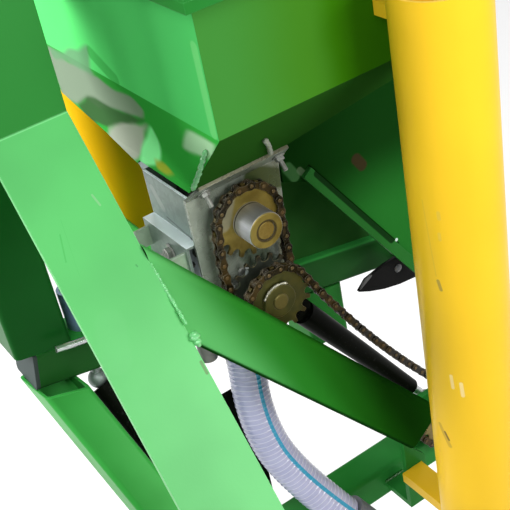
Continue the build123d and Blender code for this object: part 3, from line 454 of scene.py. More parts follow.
# Painted shade darkens the leg above its knee, and a painted highlight runs along the fold.
leg_tone = leg_finish.blend(leg_finish.step(over_knee, -0.0006, 0.0002), leg_tone, LEG_PAINTED_SHADE)
leg_tone = leg_finish.blend(knee_painted_highlight * 0.5, leg_tone, (0.30, 0.78, 0.35))
leg_finish.set(Base_Color=marked(leg_finish, leg_tone, LEG_MARKS))
coat(leg_finish, "leg")


# The brace: 50 by 25 tube welded to the leg and running down across the drive, in the same
# enamel. It is painted darker towards its low end and on its underside as painted shade,
# and paler on its edges as painted highlight.
BRACE_GREEN = (0.130, 0.52, 0.155)
BRACE_EDGE_HIGHLIGHT = (0.12, 0.62, 0.18)
BRACE_SHADE_TONES = [  # tone, and the places along the slant in metres between which it comes in
    ((0.021, 0.19, 0.018), (-0.118, -0.066)),
    ((0.013, 0.12, 0.008), (-0.068, -0.036)),
    ((0.007, 0.055, 0.004), (-0.036, 0.0)),
]
BRACE_SLANT = 0.382
BRACE_LOW_END = 0.0294
BRACE_UNDERSIDE = (-0.788, 0.0, -0.616)
BRACE_SHADOW = (0.006, 0.05, 0.006)
BRACE_MARKS = [
    ((44.4, -66.0, -158.3), (76.2, -66.0, -191.8), 0.4, (0.05, 0.22, 0.06), 0.25),
]
brace_finish = Finish("brace_enamel", 0.0)
enamel_film(brace_finish)
along_brace = brace_finish.part("X") + BRACE_SLANT * brace_finish.part("Z") - BRACE_LOW_END
along_brace = along_brace + 0.01 * brace_finish.noise(9.0)
brace_tone = BRACE_GREEN
# Painted shade, darker towards the low end.
for tone, (begins, full) in BRACE_SHADE_TONES:
    brace_tone = brace_finish.blend(brace_finish.step(along_brace, begins, full), brace_tone, tone)
# Painted highlight on the edges.
brace_tone = brace_finish.blend(brace_finish.worn_edges(0.0015) * 0.15, brace_tone, BRACE_EDGE_HIGHLIGHT)
surface = brace_finish.node("NewGeometry", out="Normal")
underneath = brace_finish.vector("DOT_PRODUCT", surface, BRACE_UNDERSIDE, out=1)
brace_tone = brace_finish.blend(brace_finish.step(underneath, 0.2, 0.6), brace_tone, BRACE_SHADOW)
brace_finish.set(Base_Color=marked(brace_finish, brace_tone, BRACE_MARKS))
coat(brace_finish, "brace")


# The rest of the frame corner: rolled tubes and plates, welded up and sprayed in the same
# green, with a film of dust on it. Each part is given its own lighter or darker tone of that
# green, as painted light and shade for where it sits under the hopper.
FRAME_ENAMELS = [  # material, sheen, tone, dustier tone, paler edges as painted highlight, nodes
    ("frame_enamel", 0.06, (0.018, 0.19, 0.026), (0.030, 0.26, 0.045), (0.06, 0.38, 0.09),
     ("top_rail", "hopper_arm", "lower_beam", "end_bracket", "drive_shaft_plate", "rod_ear", "strut_lug")),
    ("web_enamel", 0.0, (0.040, 0.15, 0.032), (0.014, 0.085, 0.013), None, ("support_web",)),
    ("hanger_enamel", 0.05, (0.028, 0.215, 0.033), (0.024, 0.185, 0.028), None, ("hanger",)),
    ("post_enamel", 0.05, (0.009, 0.11, 0.016), (0.007, 0.09, 0.012), (0.04, 0.30, 0.07), ("post",)),
    ("side_rail_enamel", 0.1, (0.07, 0.50, 0.09), (0.04, 0.34, 0.05), (0.18, 0.66, 0.22), ("side_rail",)),
    ("diagonal_tube_enamel", 0.08, (0.052, 0.40, 0.068), (0.032, 0.30, 0.042), (0.16, 0.60, 0.20),
     ("diagonal_tube",)),
]
BEAM_GREEN = (0.017, 0.115, 0.019)
BEAM_DUSTY = (0.020, 0.10, 0.021)
BEAM_EDGE_HIGHLIGHT = (0.04, 0.26, 0.06)
BEAM_TOP_PAINTED_LIGHT = (0.045, 0.36, 0.065)
frame_finishes = {}
for name, sheen, tone, dusty, edge_highlight, nodes in FRAME_ENAMELS:
    finish = Finish(name, sheen)
    finish.set(Base_Color=enamel(finish, tone, dusty, edge_highlight))
    coat(finish, *nodes)
    frame_finishes[name] = finish
beam_finish = Finish("beam_enamel", 0.05)
beam_tone = enamel(beam_finish, BEAM_GREEN, BEAM_DUSTY, BEAM_EDGE_HIGHLIGHT)
# Painted light: the beam's upward faces much lighter.
beam_tone = beam_finish.blend(beam_finish.step(beam_finish.facing("Z"), 0.5, 0.9), beam_tone, BEAM_TOP_PAINTED_LIGHT)
beam_finish.set(Base_Color=beam_tone)
coat(beam_finish, "cross_beam")


# The panel under the hopper's floor and the flat bar welded along its slanting edge. Rust
# has broken through the paint at one spot. The panel is painted dark under the hopper as
# painted shade and lighter low down as painted light; a painted shadow runs above the bar,
# a dark band is painted along the bar as painted shade, and a pale dot is painted where light
# shows through a drilled hole.
PANEL_SHADED_GREEN = (0.0065, 0.046, 0.006)
PANEL_PAINTED_LIGHT = (0.021, 0.175, 0.024)
PANEL_PAINTED_LIGHT_FROM_Z = -0.362
PANEL_PAINTED_LIGHT_TO_Z = -0.445
PANEL_MARKS_AND_PAINTED_LIGHT = [
    ((151.7, 40.0, -23.9), (158.0, 40.0, -34.0), 7.0, (0.045, 0.03, 0.015), 0.9),
    ((73.4, 40.0, 2.0), (80.0, 40.0, -10.0), 7.0, (0.14, 0.40, 0.14), 0.4),
    ((86.0, 40.0, -6.0), (94.0, 40.0, -18.0), 4.0, (0.16, 0.26, 0.14), 0.6),
    # A painted shadow line above the bar, then a pale dot painted where light shows through a drilled hole.
    ((97.0, 40.0, -6.0), (190.0, 40.0, -143.0), 1.6, (0.003, 0.018, 0.002), 0.9),
    ((188.5, 40.0, -137.6), (188.6, 40.0, -138.0), 2.2, (0.75, 0.95, 0.85), 1.0),
]
BAR_GREEN = (0.026, 0.172, 0.029)
BAR_DUSTY = (0.020, 0.138, 0.022)
BAR_EDGE_HIGHLIGHT = (0.060, 0.30, 0.075)
BAR_PAINTED_SHADE = [
    # A dark band painted along the bar: painted shade.
    ((101.5, 35.0, -15.0), (179.0, 35.0, -131.0), 4.6, (0.003, 0.022, 0.003), 0.9),
]
panel_finish = Finish("panel_enamel", 0.0)
enamel_film(panel_finish)
panel_height = panel_finish.part("Z") + 0.02 * panel_finish.noise(8.0)
# Painted dark as painted shade under the hopper, and lighter low down as painted light.
panel_painted_light = panel_finish.step(panel_height, PANEL_PAINTED_LIGHT_FROM_Z, PANEL_PAINTED_LIGHT_TO_Z)
panel_tone = panel_finish.blend(panel_painted_light, PANEL_SHADED_GREEN, PANEL_PAINTED_LIGHT)
panel_finish.set(Base_Color=marked(panel_finish, panel_tone, PANEL_MARKS_AND_PAINTED_LIGHT))
coat(panel_finish, "back_panel")
bar_finish = Finish("bar_enamel", 0.02)
bar_tone = enamel(bar_finish, BAR_GREEN, BAR_DUSTY, BAR_EDGE_HIGHLIGHT)
bar_finish.set(Base_Color=marked(bar_finish, bar_tone, BAR_PAINTED_SHADE))
coat(bar_finish, "panel_bar")


# The hopper: folded and seam-welded sheet, green inside and out. Its walls are painted
# lighter or darker from place to place as painted light and shade, and the patches in
# bands down its left wall are painted reflections.
# Tones of the one green paint, set lighter or darker wall by wall and below the fold as painted light and
# shade; the cloud is uneven paint.
HOPPER_SIDE = (0.076, 0.49, 0.120)
HOPPER_SIDE_BACK_PAINTED_LIGHT = (0.135, 0.82, 0.210)
HOPPER_SIDE_LOW_PAINTED_SHADE = (0.044, 0.40, 0.056)
HOPPER_SIDE_CLOUD = (0.03, 0.30, 0.05)
HOPPER_FRONT = (0.050, 0.235, 0.036)
HOPPER_FRONT_MIDDLE_PAINTED_SHADE = (0.048, 0.195, 0.013)
HOPPER_FRONT_RIGHT_PAINTED_SHADE = (0.036, 0.170, 0.003)
HOPPER_FUNNEL_PAINTED_SHADE = (0.020, 0.090, 0.011)
HOPPER_FOLD_Z = -0.2162
HOPPER_STROKES_AND_PAINTED_LIGHT = [
    # A darker stroke high on the left wall, a painted highlight down the left wall by its front corner, and a
    # dark line painted on the front just below the fold as painted shade.
    ((-62.0, 98.0, 156.0), (-62.0, 60.0, 142.0), 8.0, (0.035, 0.32, 0.045), 0.5),
    ((-62.0, -93.0, 210.0), (-62.0, -94.0, 143.0), 5.5, (0.15, 0.56, 0.17), 0.8),
    ((-40.7, -100.0, 133.0), (106.8, -100.0, 133.0), 1.5, (0.02, 0.14, 0.02), 0.5),
]
HOPPER_PAINTED_REFLECTIONS = [  # tone, strength, corners (y, z) in mm: painted reflections on the left wall
    ((0.26, 0.34, 0.24), 1.0,
     [(205.0, 134.0), (111.0, 133.5), (155.9, 92.5), (188.4, 75.7), (228.3, 72.1)]),
    ((0.26, 0.34, 0.24), 1.0,
     [(118.7, 130.4), (80.1, 130.8), (42.1, 130.4), (27.2, 123.2), (35.5, 113.7), (71.3, 104.6),
      (137.2, 91.8), (158.0, 94.6)]),
    ((0.055, 0.135, 0.048), 0.95,
     [(190.3, 75.1), (149.1, 98.8), (105.6, 102.9), (33.2, 113.8), (41.8, 105.2), (87.6, 84.0),
      (151.9, 62.7), (175.0, 58.0)]),
    ((0.38, 0.42, 0.33), 1.0,
     [(156.0, 52.0), (111.6, 81.0), (68.4, 96.6), (35.6, 104.3), (64.7, 71.7), (90.7, 48.9), (120.0, 44.0)]),
    ((0.28, 0.97, 0.37), 1.0,
     [(36.4, 105.3), (23.8, 107.8), (20.5, 93.4), (27.7, 77.9), (57.1, 54.5), (88.1, 43.7),
      (89.9, 50.6), (64.7, 71.7)]),
    ((0.42, 0.46, 0.04), 0.9,
     [(46.8, 62.6), (27.1, 69.0), (17.5, 63.0), (32.0, 55.8), (49.8, 55.4)]),
    ((0.46, 0.67, 0.44), 0.9,
     [(-39.5, 122.5), (-53.4, 132.3), (-92.8, 133.0), (-63.2, 107.4), (-45.7, 106.0), (-29.1, 106.9)]),
    ((0.17, 0.36, 0.19), 0.9,
     [(195.5, 133.5), (102.9, 159.6), (111.5, 132.3), (142.6, 128.5), (195.3, 125.4)]),
]
hopper_finish = Finish("hopper_enamel", 0.0)
enamel_film(hopper_finish, 0.3)
left_wall = hopper_finish.step(hopper_finish.facing("X", "True Normal"), -0.5, -0.8)
above_fold = hopper_finish.step(hopper_finish.part("Z") - HOPPER_FOLD_Z, -0.0002, 0.0002)
rightward = hopper_finish.part("X") + 0.02 * hopper_finish.noise(12.0)
# Painted shade: the front darker towards its right and below the fold; painted light and shade on the left
# wall, lighter towards the back and darker below the fold.
front_tone = hopper_finish.blend(hopper_finish.step(rightward, 0.12, 0.20), HOPPER_FRONT, HOPPER_FRONT_MIDDLE_PAINTED_SHADE)
front_tone = hopper_finish.blend(hopper_finish.step(rightward, 0.200, 0.224), front_tone, HOPPER_FRONT_RIGHT_PAINTED_SHADE)
front_tone = hopper_finish.blend(above_fold, HOPPER_FUNNEL_PAINTED_SHADE, front_tone)
toward_back = hopper_finish.step(hopper_finish.part("Y"), -0.11, 0.0)
side_tone = hopper_finish.blend(toward_back, HOPPER_SIDE, HOPPER_SIDE_BACK_PAINTED_LIGHT)
side_tone = hopper_finish.blend(above_fold, HOPPER_SIDE_LOW_PAINTED_SHADE, side_tone)
side_tone = hopper_finish.blend(hopper_finish.noise(20.0, 3.0) * 0.15, side_tone, HOPPER_SIDE_CLOUD)
hopper_tone = hopper_finish.blend(left_wall, front_tone, side_tone)
for tone, strength, corners in HOPPER_PAINTED_REFLECTIONS:
    mask = hopper_finish.patch([tuple(spot(0, y, z))[1:] for y, z in corners])
    hopper_tone = hopper_finish.blend(mask * left_wall * strength, hopper_tone, tone)
hopper_finish.set(Base_Color=marked(hopper_finish, hopper_tone, HOPPER_STROKES_AND_PAINTED_LIGHT))
coat(hopper_finish, "hopper")


# The hopper's rim: its top edge folded outward and down all round, which stiffens it and
# leaves no sharp edge.
RIM_CORNERS = [(-62.0, -100.0), (210.0, -100.0), (210.0, 205.0), (-62.0, 205.0)]
RIM_TOP = 249.6
RIM_REACH = 9.0
RIM_DEPTH = 10.0
RIM_SHEET = 2.0
RIM_ROUND = 1.5
RIM_PROFILE = [  # outward from the wall, down from the top
    (0.0, RIM_SHEET), (0.0, 0.0), (RIM_REACH - RIM_ROUND, 0.0), (RIM_REACH, RIM_ROUND),
    (RIM_REACH, RIM_DEPTH), (RIM_REACH - RIM_SHEET, RIM_DEPTH), (RIM_REACH - RIM_SHEET, RIM_SHEET + 1.0),
    (0.0, RIM_SHEET + 1.0),
]
rim_mesh = bmesh.new()
rim_rings = []
for outward, down in RIM_PROFILE:
    ring = []
    for x, y in RIM_CORNERS:
        way_x, way_y = (1 if x > 0 else -1), (1 if y > 0 else -1)
        ring.append(rim_mesh.verts.new(spot(x + way_x * outward, y + way_y * outward, RIM_TOP - down)))
    rim_rings.append(ring)
skin(rim_mesh, rim_rings, ends=False)
piece("hopper_rim_lip", rim_mesh, "frame", frame_finishes["frame_enamel"])


# Weld beads: laid by hand along the seams, rippled where each drop froze, and painted
# over with everything else, so that they catch the light. The beads on the leg are given a
# paler green than the leg's paint, as painted highlight.
BEADS = [  # name, half width mm, tone, points in mm from the metering sprocket's middle
    ("leg_bead", 1.7, "leaf_highlight", [(-124.0, -61.5, 51.5), (-124.0, -83.0, 29.8), (-124.0, -104.5, 9.6)]),
    ("leg_blob", 5.0, "leaf_highlight", [(-123.0, -107.5, 4.0), (-121.5, -113.0, -8.5)]),
    ("hopper_left_bead", 2.2, "pale", [(-50.2, -11.4, 57.3), (-55.0, -41.9, 88), (-58.2, -59.4, 106.5),
                                       (-61.0, -73.5, 121.2)]),
    ("hopper_drop", 2.2, "cream", [(-0.3, -57.5, 98), (12, -40, 82), (28.9, -11.8, 56.5)]),
    ("panel_bead", 3.0, "dusty", [(96, 38, -13.7), (102.4, 38, -24.5)]),
    ("beam_hanger_bead", 2.0, "dark", [(102.5, 100, -198), (102.5, 100, -203), (102.5, 101, -207)]),
    ("brace_bracket_bead", 2.2, "dark", [(96.0, -57.5, -271.0), (118.0, -57.5, -298.0)]),
    ("lower_bracket_bead", 2.2, "dark", [(94.0, -14.0, -387.5), (120.0, -14.0, -387.5)]),
]
BEAD_TONES = {
    # The tone for the leg's beads is paler than the leg's paint: painted highlight.
    "leaf_highlight": (0.20, 0.74, 0.26), "pale": (0.16, 0.50, 0.20), "cream": (0.27, 0.31, 0.23),
    "dusty": (0.05, 0.16, 0.05), "dark": (0.03, 0.20, 0.03),
}
BEAD_POINT_GAP = 0.0005
BEAD_SIDES = 12
bead_finishes = {}
for tone, colour in BEAD_TONES.items():
    bead_finish = Finish("weld_" + tone)
    grain = bead_finish.noise(300.0, 3.0)
    bump = bead_finish.node("Bump", None, {"Strength": 0.3, "Distance": 0.0005, "Height": grain})
    bead_tone = bead_finish.blend(grain, tuple(0.6 * c for c in colour), colour)
    bead_finish.set(Base_Color=bead_tone, Roughness=0.22, Coat_Weight=0.4, Coat_Roughness=0.1, Normal=bump)
    bead_finishes[tone] = bead_finish


def bead_reach(width, length, seed):
    """Radius along a bead, which ripples, wanders and tapers off at both ends."""
    def reach(turn, along):
        ripple = abs(sin(pi * along / (0.9 * width) + seed)) * 0.22
        wander = 0.15 * sin(along / width * 0.9 + 2.0 * seed) + 0.1 * sin(along / width * 2.3 + seed)
        taper = min(1.0, (min(along, length - along) / width) + 0.05) ** 0.5
        return width * max(0.05, (0.72 + ripple + wander)) * taper
    return reach


for seed, (name, width, tone, route) in enumerate(BEADS):
    seam = evenly([spot(*point) for point in route], BEAD_POINT_GAP)
    length = line_length(seam)
    bead_mesh = bmesh.new()
    tube_along(bead_mesh, seam, BEAD_SIDES, bead_reach(width / 1000, length, seed), (0, 0.6, 0.8))
    piece(name, bead_mesh, "frame", bead_finishes[tone])


# Yellow tubes: 76 mm tube in gloss yellow enamel, smudged with oil and scratched down
# to a brown undercoat where things have knocked against them. Plain brackets hold them.
YELLOW = (0.94, 0.58, 0.022)
LEFT_YELLOW = (0.95, 0.54, 0.007)
LEFT_YELLOW_DUSTY = (0.90, 0.50, 0.005)
RIGHT_MARKS = [
    ((66.4, -175.8, -117.4), (66.8, -176.5, -130.6), 1.8, (0.98, 0.86, 0.55), 0.45),
    ((70.6, -182.8, -124.6), (71.1, -183.4, -138.1), 2.0, (0.98, 0.86, 0.55), 0.5),
    ((63.0, -158.7, -181.8), (63.9, -168.4, -202.5), 2.6, (0.5, 0.3, 0.03), 0.6),
    ((63.2, -164.2, -187.8), (63.8, -167.9, -195.4), 1.4, (0.13, 0.07, 0.012), 0.85),
    ((65.1, -172.5, -19.2), (65.8, -174.3, -27.5), 1.8, (0.36, 0.26, 0.06), 0.75),
    ((67.3, -177.6, 46.0), (67.5, -177.9, 40.6), 1.8, (0.72, 0.5, 0.07), 0.6),
    ((67.0, -176.9, 26.7), (67.1, -177.2, 21.2), 1.6, (0.72, 0.5, 0.07), 0.6),
    ((63.3, -165.1, 54.5), (64.7, -171.2, -14.7), 0.8, (0.66, 0.44, 0.04), 0.35),
]
yellow_finish = Finish("yellow_enamel", 0.12)
yellow_tone = enamel(yellow_finish, YELLOW, tuple(0.93 * c for c in YELLOW))
yellow_finish.set(Base_Color=marked(yellow_finish, yellow_tone, RIGHT_MARKS))
coat(yellow_finish, "right_tube", "right_tube_top_bracket", "right_tube_low_bracket")
left_yellow_finish = Finish("left_tube_enamel", 0.05)
left_yellow_finish.set(Base_Color=enamel(left_yellow_finish, LEFT_YELLOW, LEFT_YELLOW_DUSTY))
coat(left_yellow_finish, "left_tube", "left_tube_bracket")


# The metering box, end plate, slide tabs and spouts: galvanised sheet, folded and bolted,
# with a fine spangle that is brightest along cut edges. The box and end plate are painted
# much lighter on their upward faces, as painted light.
ZINC_EDGE = (0.55, 0.58, 0.60)
ZINC_SPANGLES = 220.0  # in a metre
BOX_ZINC = (0.21, 0.28, 0.24)
BOX_DULL = (0.15, 0.20, 0.17)
BOX_TOP_PAINTED_LIGHT = (0.84, 0.94, 0.98)
BOX_MARKS_AND_PAINTED_SHADE = [
    ((-46.0, 81.5, 21.0), (-46.0, 68.4, 5.0), 5.0, (0.50, 0.52, 0.50), 0.3),
    # A dark line painted along the inner corner of the step: painted shade.
    ((-46.0, 64.6, -3.1), (-46.0, 20.9, -8.8), 1.0, (0.03, 0.035, 0.035), 0.8),
]
SMALL_SHEET = [  # material, tone, dull tone, roughness, edges, nodes
    ("galvanised_tab", (0.42, 0.55, 0.40), (0.32, 0.43, 0.31), 0.35, ZINC_EDGE, ("slide_tabs",)),
    ("galvanised_spout", (0.20, 0.21, 0.19), (0.10, 0.10, 0.08), 0.4, (0.30, 0.22, 0.12),
     ("hose_spout", "drain_spout")),
    ("socket_zinc", (0.22, 0.34, 0.52), (0.16, 0.25, 0.42), 0.4, ZINC_EDGE, ("beam_socket",)),
]


def galvanised(finish, tone, dull, spangle=0.35, rough=0.3, edge=ZINC_EDGE):
    """Zinc coat on sheet: cloudy, spangled, and bright where edges are rubbed or cut."""
    flake = finish.node("TexVoronoi", None, {"Vector": finish.place(), "Scale": ZINC_SPANGLES}, out="Color")
    flake = finish.node("SeparateXYZ", None, {0: flake}, out=0)
    broad = finish.noise(30.0, 3.0)
    colour = finish.blend(finish.step(broad, 0.35, 0.7), tone, dull)
    colour = finish.blend(flake * spangle, colour, tuple(0.6 * c for c in tone))
    colour = finish.blend(finish.worn_edges(0.0009) * 0.8, colour, edge)
    finish.set(Metallic=0.35, Roughness=rough + 0.12 * broad + 0.05 * flake,
               Normal=finish.rounded(0.0006, broad, 0.12))
    return colour


box_finish = Finish("galvanised_box")
box_tone = galvanised(box_finish, BOX_ZINC, BOX_DULL)
# Painted light: upward faces much lighter.
box_tone = box_finish.blend(box_finish.step(box_finish.facing("Z"), 0.5, 0.9), box_tone, BOX_TOP_PAINTED_LIGHT)
box_finish.set(Base_Color=marked(box_finish, box_tone, BOX_MARKS_AND_PAINTED_SHADE))
coat(box_finish, "metering_box", "end_plate")
for name, tone, dull, rough, edge, nodes in SMALL_SHEET:
    finish = Finish(name)
    finish.set(Base_Color=galvanised(finish, tone, dull, rough=rough, edge=edge))
    coat(finish, *nodes)


# The drive's side plate: the same sheet, but rolled bright and filmed with oil, so that
# it mirrors the green and olive round it. Its bent top edge is cut clean.
PLATE_ZINC = (0.30, 0.34, 0.275)
PLATE_DULL = (0.20, 0.235, 0.185)
PLATE_EDGE = (0.60, 0.63, 0.61)
PLATE_BEND = (0.020, 0.030, 0.012)
PLATE_CUT = (0.50, 0.47, 0.34)
PLATE_CUT_Z = -0.3039
PLATE_GLINTS_AND_MARKS = [
    # The first five strokes are painted glints of light.
    ((4.3, 10.0, -48.0), (5.6, 10.0, -57.0), 0.9, (0.55, 0.58, 0.54), 0.85),
    ((16.5, 10.0, -50.5), (17.5, 10.0, -57.0), 0.9, (0.50, 0.53, 0.50), 0.85),
    ((-15.9, 10.0, -28.5), (-15.0, 10.0, -34.0), 1.0, (0.50, 0.55, 0.52), 0.8),
    ((-5.3, 10.0, -36.5), (-4.6, 10.0, -42.0), 0.9, (0.45, 0.50, 0.47), 0.8),
    ((-10.3, 10.0, -40.0), (-6.0, 10.0, -45.0), 1.0, (0.50, 0.55, 0.52), 0.7),
    ((-24.6, 10.0, 25.0), (-26.5, 10.0, 10.0), 1.5, (0.45, 0.48, 0.47), 0.7),
    ((20.0, 10.0, 30.0), (46.0, 10.0, 16.0), 12.0, (0.045, 0.075, 0.010), 0.9),
    ((2.0, 10.0, -40.0), (14.0, 10.0, -62.0), 15.0, (0.11, 0.155, 0.10), 0.8),
]
plate_finish = Finish("side_plate_sheet")
plate_tone = galvanised(plate_finish, PLATE_ZINC, PLATE_DULL, 0.2, 0.2, PLATE_EDGE)
bent_top = plate_finish.step(plate_finish.facing("Z"), 0.3, 0.6)
cut_edge = plate_finish.step(plate_finish.part("Z") - PLATE_CUT_Z, -0.0002, 0.0002)
plate_tone = plate_finish.blend(bent_top, plate_tone, PLATE_BEND)
plate_tone = plate_finish.blend(bent_top * cut_edge * 0.6, plate_tone, PLATE_CUT)
plate_finish.set(Base_Color=marked(plate_finish, plate_tone, PLATE_GLINTS_AND_MARKS))
coat(plate_finish, "side_plate")


# Nuts, bolts and washers: passivated zinc gone grey, on small screws whose threads stand
# out of them, and the round head of a bolt through the side plate.
WASHER = 1.2
THREAD_PITCH = 1.0
THREAD_DEPTH = 0.35
ROUND_HEAD = [(0, 4.2), (1.0, 4.0), (1.9, 3.0), (2.4, 1.4), (2.5, 0.3)]
BEARING_SCREW_R = 18.2
BEARINGS = [  # name, x, y, z of its flange
    ("metering_front", 0, 18, 0),
    ("jackshaft", 0, 18, -76.2),
    ("metering_rear", 0, 100, 0),
    ("drive_shaft", 177.54, 3, -339.42),
]
SCREWS = [  # name, seat in mm, axis, thread, across flats, nut height, tail
    ("flange_nut_left", (-34, 3, 41.6), (0, -0.669, -0.743), 4.6, 7.6, 3.6, 10.0),
    ("flange_nut_right", (44, 3, 41.6), (0, -0.669, -0.743), 4.6, 7.6, 3.6, 10.0),
    ("box_nut", (-58, 47, -27), (-1, 0, 0), 6.0, 10.0, 5.0, 20.0),
    ("plate_nut", (-21.1, 10, -67.5), (0, -1, 0), 4.0, 7.0, 3.2, 2.0),
    ("end_nut_left", (-34, 102, 41.6), (0, 0.669, -0.743), 4.6, 7.6, 3.6, 7.0),
    ("end_nut_right", (40, 102, 41.6), (0, 0.669, -0.743), 4.6, 7.6, 3.6, 7.0),
]
for bearing, x, y, z in BEARINGS:
    for count in range(3):
        turn = radians(90 + 120 * count)
        seat = (x + BEARING_SCREW_R * cos(turn), y, z + BEARING_SCREW_R * sin(turn))
        SCREWS.append((f"{bearing}_screw_{count + 1}", seat, (0, 1, 0), 4.0, 6.0, 3.0, 2.0))


def turned(mesh, place, axis, profile, sides=24, phase=0.0):
    """Adds a form turned about an axis; profile holds (distance along it, radius) in mm."""
    axis = Vector(axis).normalized()
    side = axis.orthogonal().normalized()
    across = axis.cross(side)
    rings = []
    for along, radius in profile:
        ring = []
        for step in range(sides):
            turn = 2 * pi * (step + phase) / sides
            out = side * cos(turn) + across * sin(turn)
            ring.append(mesh.verts.new(place + (axis * along + out * radius) / 1000))
        rings.append(ring)
    skin(mesh, rings)


def screw(mesh, seat, axis, thread, across, height, tail):
    """Washer, hexagon nut and the end of its screw."""
    rim, bevel = across * 0.82, across * 0.78
    turned(mesh, seat, axis, [(0, bevel), (0.2, rim), (WASHER - 0.2, rim), (WASHER, bevel)])
    corner = across / (2 * cos(pi / 6))
    turned(mesh, seat, axis, [(WASHER - 0.1, corner * 0.92), (WASHER + 0.3, corner), (height + 0.7, corner),
                              (height + 1.2, corner * 0.9), (height + 1.25, thread * 0.55)], 6, 0.3)
    ridges = [(height + 0.6, thread / 2)]
    while ridges[-1][0] < height + tail:
        at = ridges[-1][0]
        ridges += [(at + THREAD_PITCH / 2, thread / 2 - THREAD_DEPTH), (at + THREAD_PITCH, thread / 2)]
    turned(mesh, seat, axis, ridges + [(ridges[-1][0] + 0.6, thread / 2 - 0.8)], 16)


def grained(name, dark, light, scale, rough, edge, bump=0.0, metallic=0.0, specular=0.5, detail=3.0,
            stretch=None, spread=0.2, band=None):
    """A material whose grain runs from dark to light, or only over a band, and roughens and dents it."""
    finish = Finish(name, specular)
    grain = finish.noise(scale, detail, stretch)
    lightness = finish.step(grain, *band) if band else grain
    finish.set(Base_Color=finish.blend(lightness, dark, light), Roughness=rough + spread * grain,
               Metallic=metallic, Normal=finish.rounded(edge, grain if bump else None, bump))
    return finish


nut_finish = grained("passivated_zinc", (0.19, 0.20, 0.175), (0.46, 0.47, 0.44), 260.0,
                     rough=0.28, edge=0.0004, bump=0.2, metallic=0.6)
for name, seat, axis, thread, across, height, tail in SCREWS:
    screw_mesh = bmesh.new()
    screw(screw_mesh, spot(*seat), axis, thread, across, height, tail)
    piece(name, screw_mesh, "frame", nut_finish)
head_mesh = bmesh.new()
turned(head_mesh, spot(-10.9, 10.0, -56.2), (0, -1, 0), ROUND_HEAD)
piece("plate_round_head", head_mesh, "frame", nut_finish)


# Sprockets: sawn and hobbed steel, plated a dull olive gold. The hub is a separate boss
# with bright machined sides, pressed in and tack-welded, and the shaft shows at its end.
SPROCKETS = [  # node, axle x and z in mm, gold, shaded gold, marks
    ("metering_sprocket", 0.0, 0.0, (0.235, 0.185, 0.040), (0.15, 0.11, 0.015), [
        ((-26.0, -3.5, 8.0), (-18.0, -3.5, 27.0), 10.0, (0.30, 0.30, 0.23), 0.55),
    ]),
    ("jackshaft_rear_sprocket", 0.0, -76.2, (0.10, 0.115, 0.09), (0.05, 0.06, 0.045), [
        # Painted glints of light on the tooth tips.
        ((-26.0, -3.5, -41.0), (-14.0, -3.5, -49.5), 3.2, (0.50, 0.56, 0.56), 0.85),
        ((-29.5, -3.5, -55.0), (-25.0, -3.5, -57.5), 2.0, (0.45, 0.50, 0.48), 0.85),
        ((8.0, -3.5, -39.5), (9.0, -3.5, -45.0), 1.1, (0.80, 0.84, 0.82), 0.9),
        ((-4.8, -3.5, -40.5), (-3.2, -3.5, -45.6), 1.2, (0.80, 0.84, 0.82), 0.9),
        ((-17.0, -3.5, -43.5), (-11.0, -3.5, -46.5), 1.0, (0.70, 0.76, 0.74), 0.8),
    ]),
    ("jackshaft_front_sprocket", 0.0, -76.2, (0.070, 0.070, 0.014), (0.040, 0.046, 0.009), [
        ((-24.0, -27.8, -84.0), (-10.0, -27.8, -100.0), 8.0, (0.045, 0.11, 0.03), 0.7),
    ]),
    ("drive_sprocket", 177.54, -339.42, (0.20, 0.15, 0.04), (0.12, 0.09, 0.02), []),
]
GOLD_WORN = (0.45, 0.36, 0.14)
CHAIN_GRIME = (0.05, 0.03, 0.01)
HUB_R = 0.0173
HUB_GROOVE_R = 0.0098
HUB_FOOT_Y = -0.0249
HUB_JOINT_Y = -0.0272
HUB_FACE_Y = -0.05195
HUB_BRIGHT = (0.88, 0.90, 0.96)
HUB_GREY = (0.52, 0.53, 0.58)
HUB_TOP_PAINTED_SHADE = (0.10, 0.10, 0.07)
HUB_OIL = (0.02, 0.015, 0.01)
HUB_GROOVE = (0.03, 0.02, 0.01)
TACK_R = 17.6
TACK_PLACE = (0.0, -29.8, -76.2)
TACK_DEGREES = range(52, 153)
TACK_HALF_WIDTH = 0.0014


def bright_hub(plating, away, gold):
    """Turned steel on the hub's side, painted dark on its upward side as painted shade, and the groove round
    the shaft on its gold face.
    """
    y = plating.part("Y")
    face = plating.step(y, HUB_FACE_Y + 0.0012, HUB_FACE_Y + 0.0004)
    past_foot = plating.step(y, HUB_FOOT_Y + 0.0002, HUB_FOOT_Y - 0.0002)
    side = plating.step(away, HUB_R + 0.0008, HUB_R) * past_foot
    groove = plating.step(abs(away - HUB_GROOVE_R), 0.0012, 0.0006)
    joint = plating.step(abs(y - HUB_JOINT_Y), 0.0010, 0.0005)
    steel = plating.blend(plating.noise(500.0, 2.0, (1.0, 0.03, 1.0)), HUB_BRIGHT, HUB_GREY)
    # Painted shade: the upward side darker.
    steel = plating.blend(plating.step(plating.facing("Z"), 0.1, 0.9) * 0.65, steel, HUB_TOP_PAINTED_SHADE)
    steel = plating.blend(joint * 0.9, steel, HUB_OIL)
    gold = plating.blend(side * (1 - face), gold, steel)
    return plating.blend(groove * face * 0.85, gold, HUB_GROOVE)


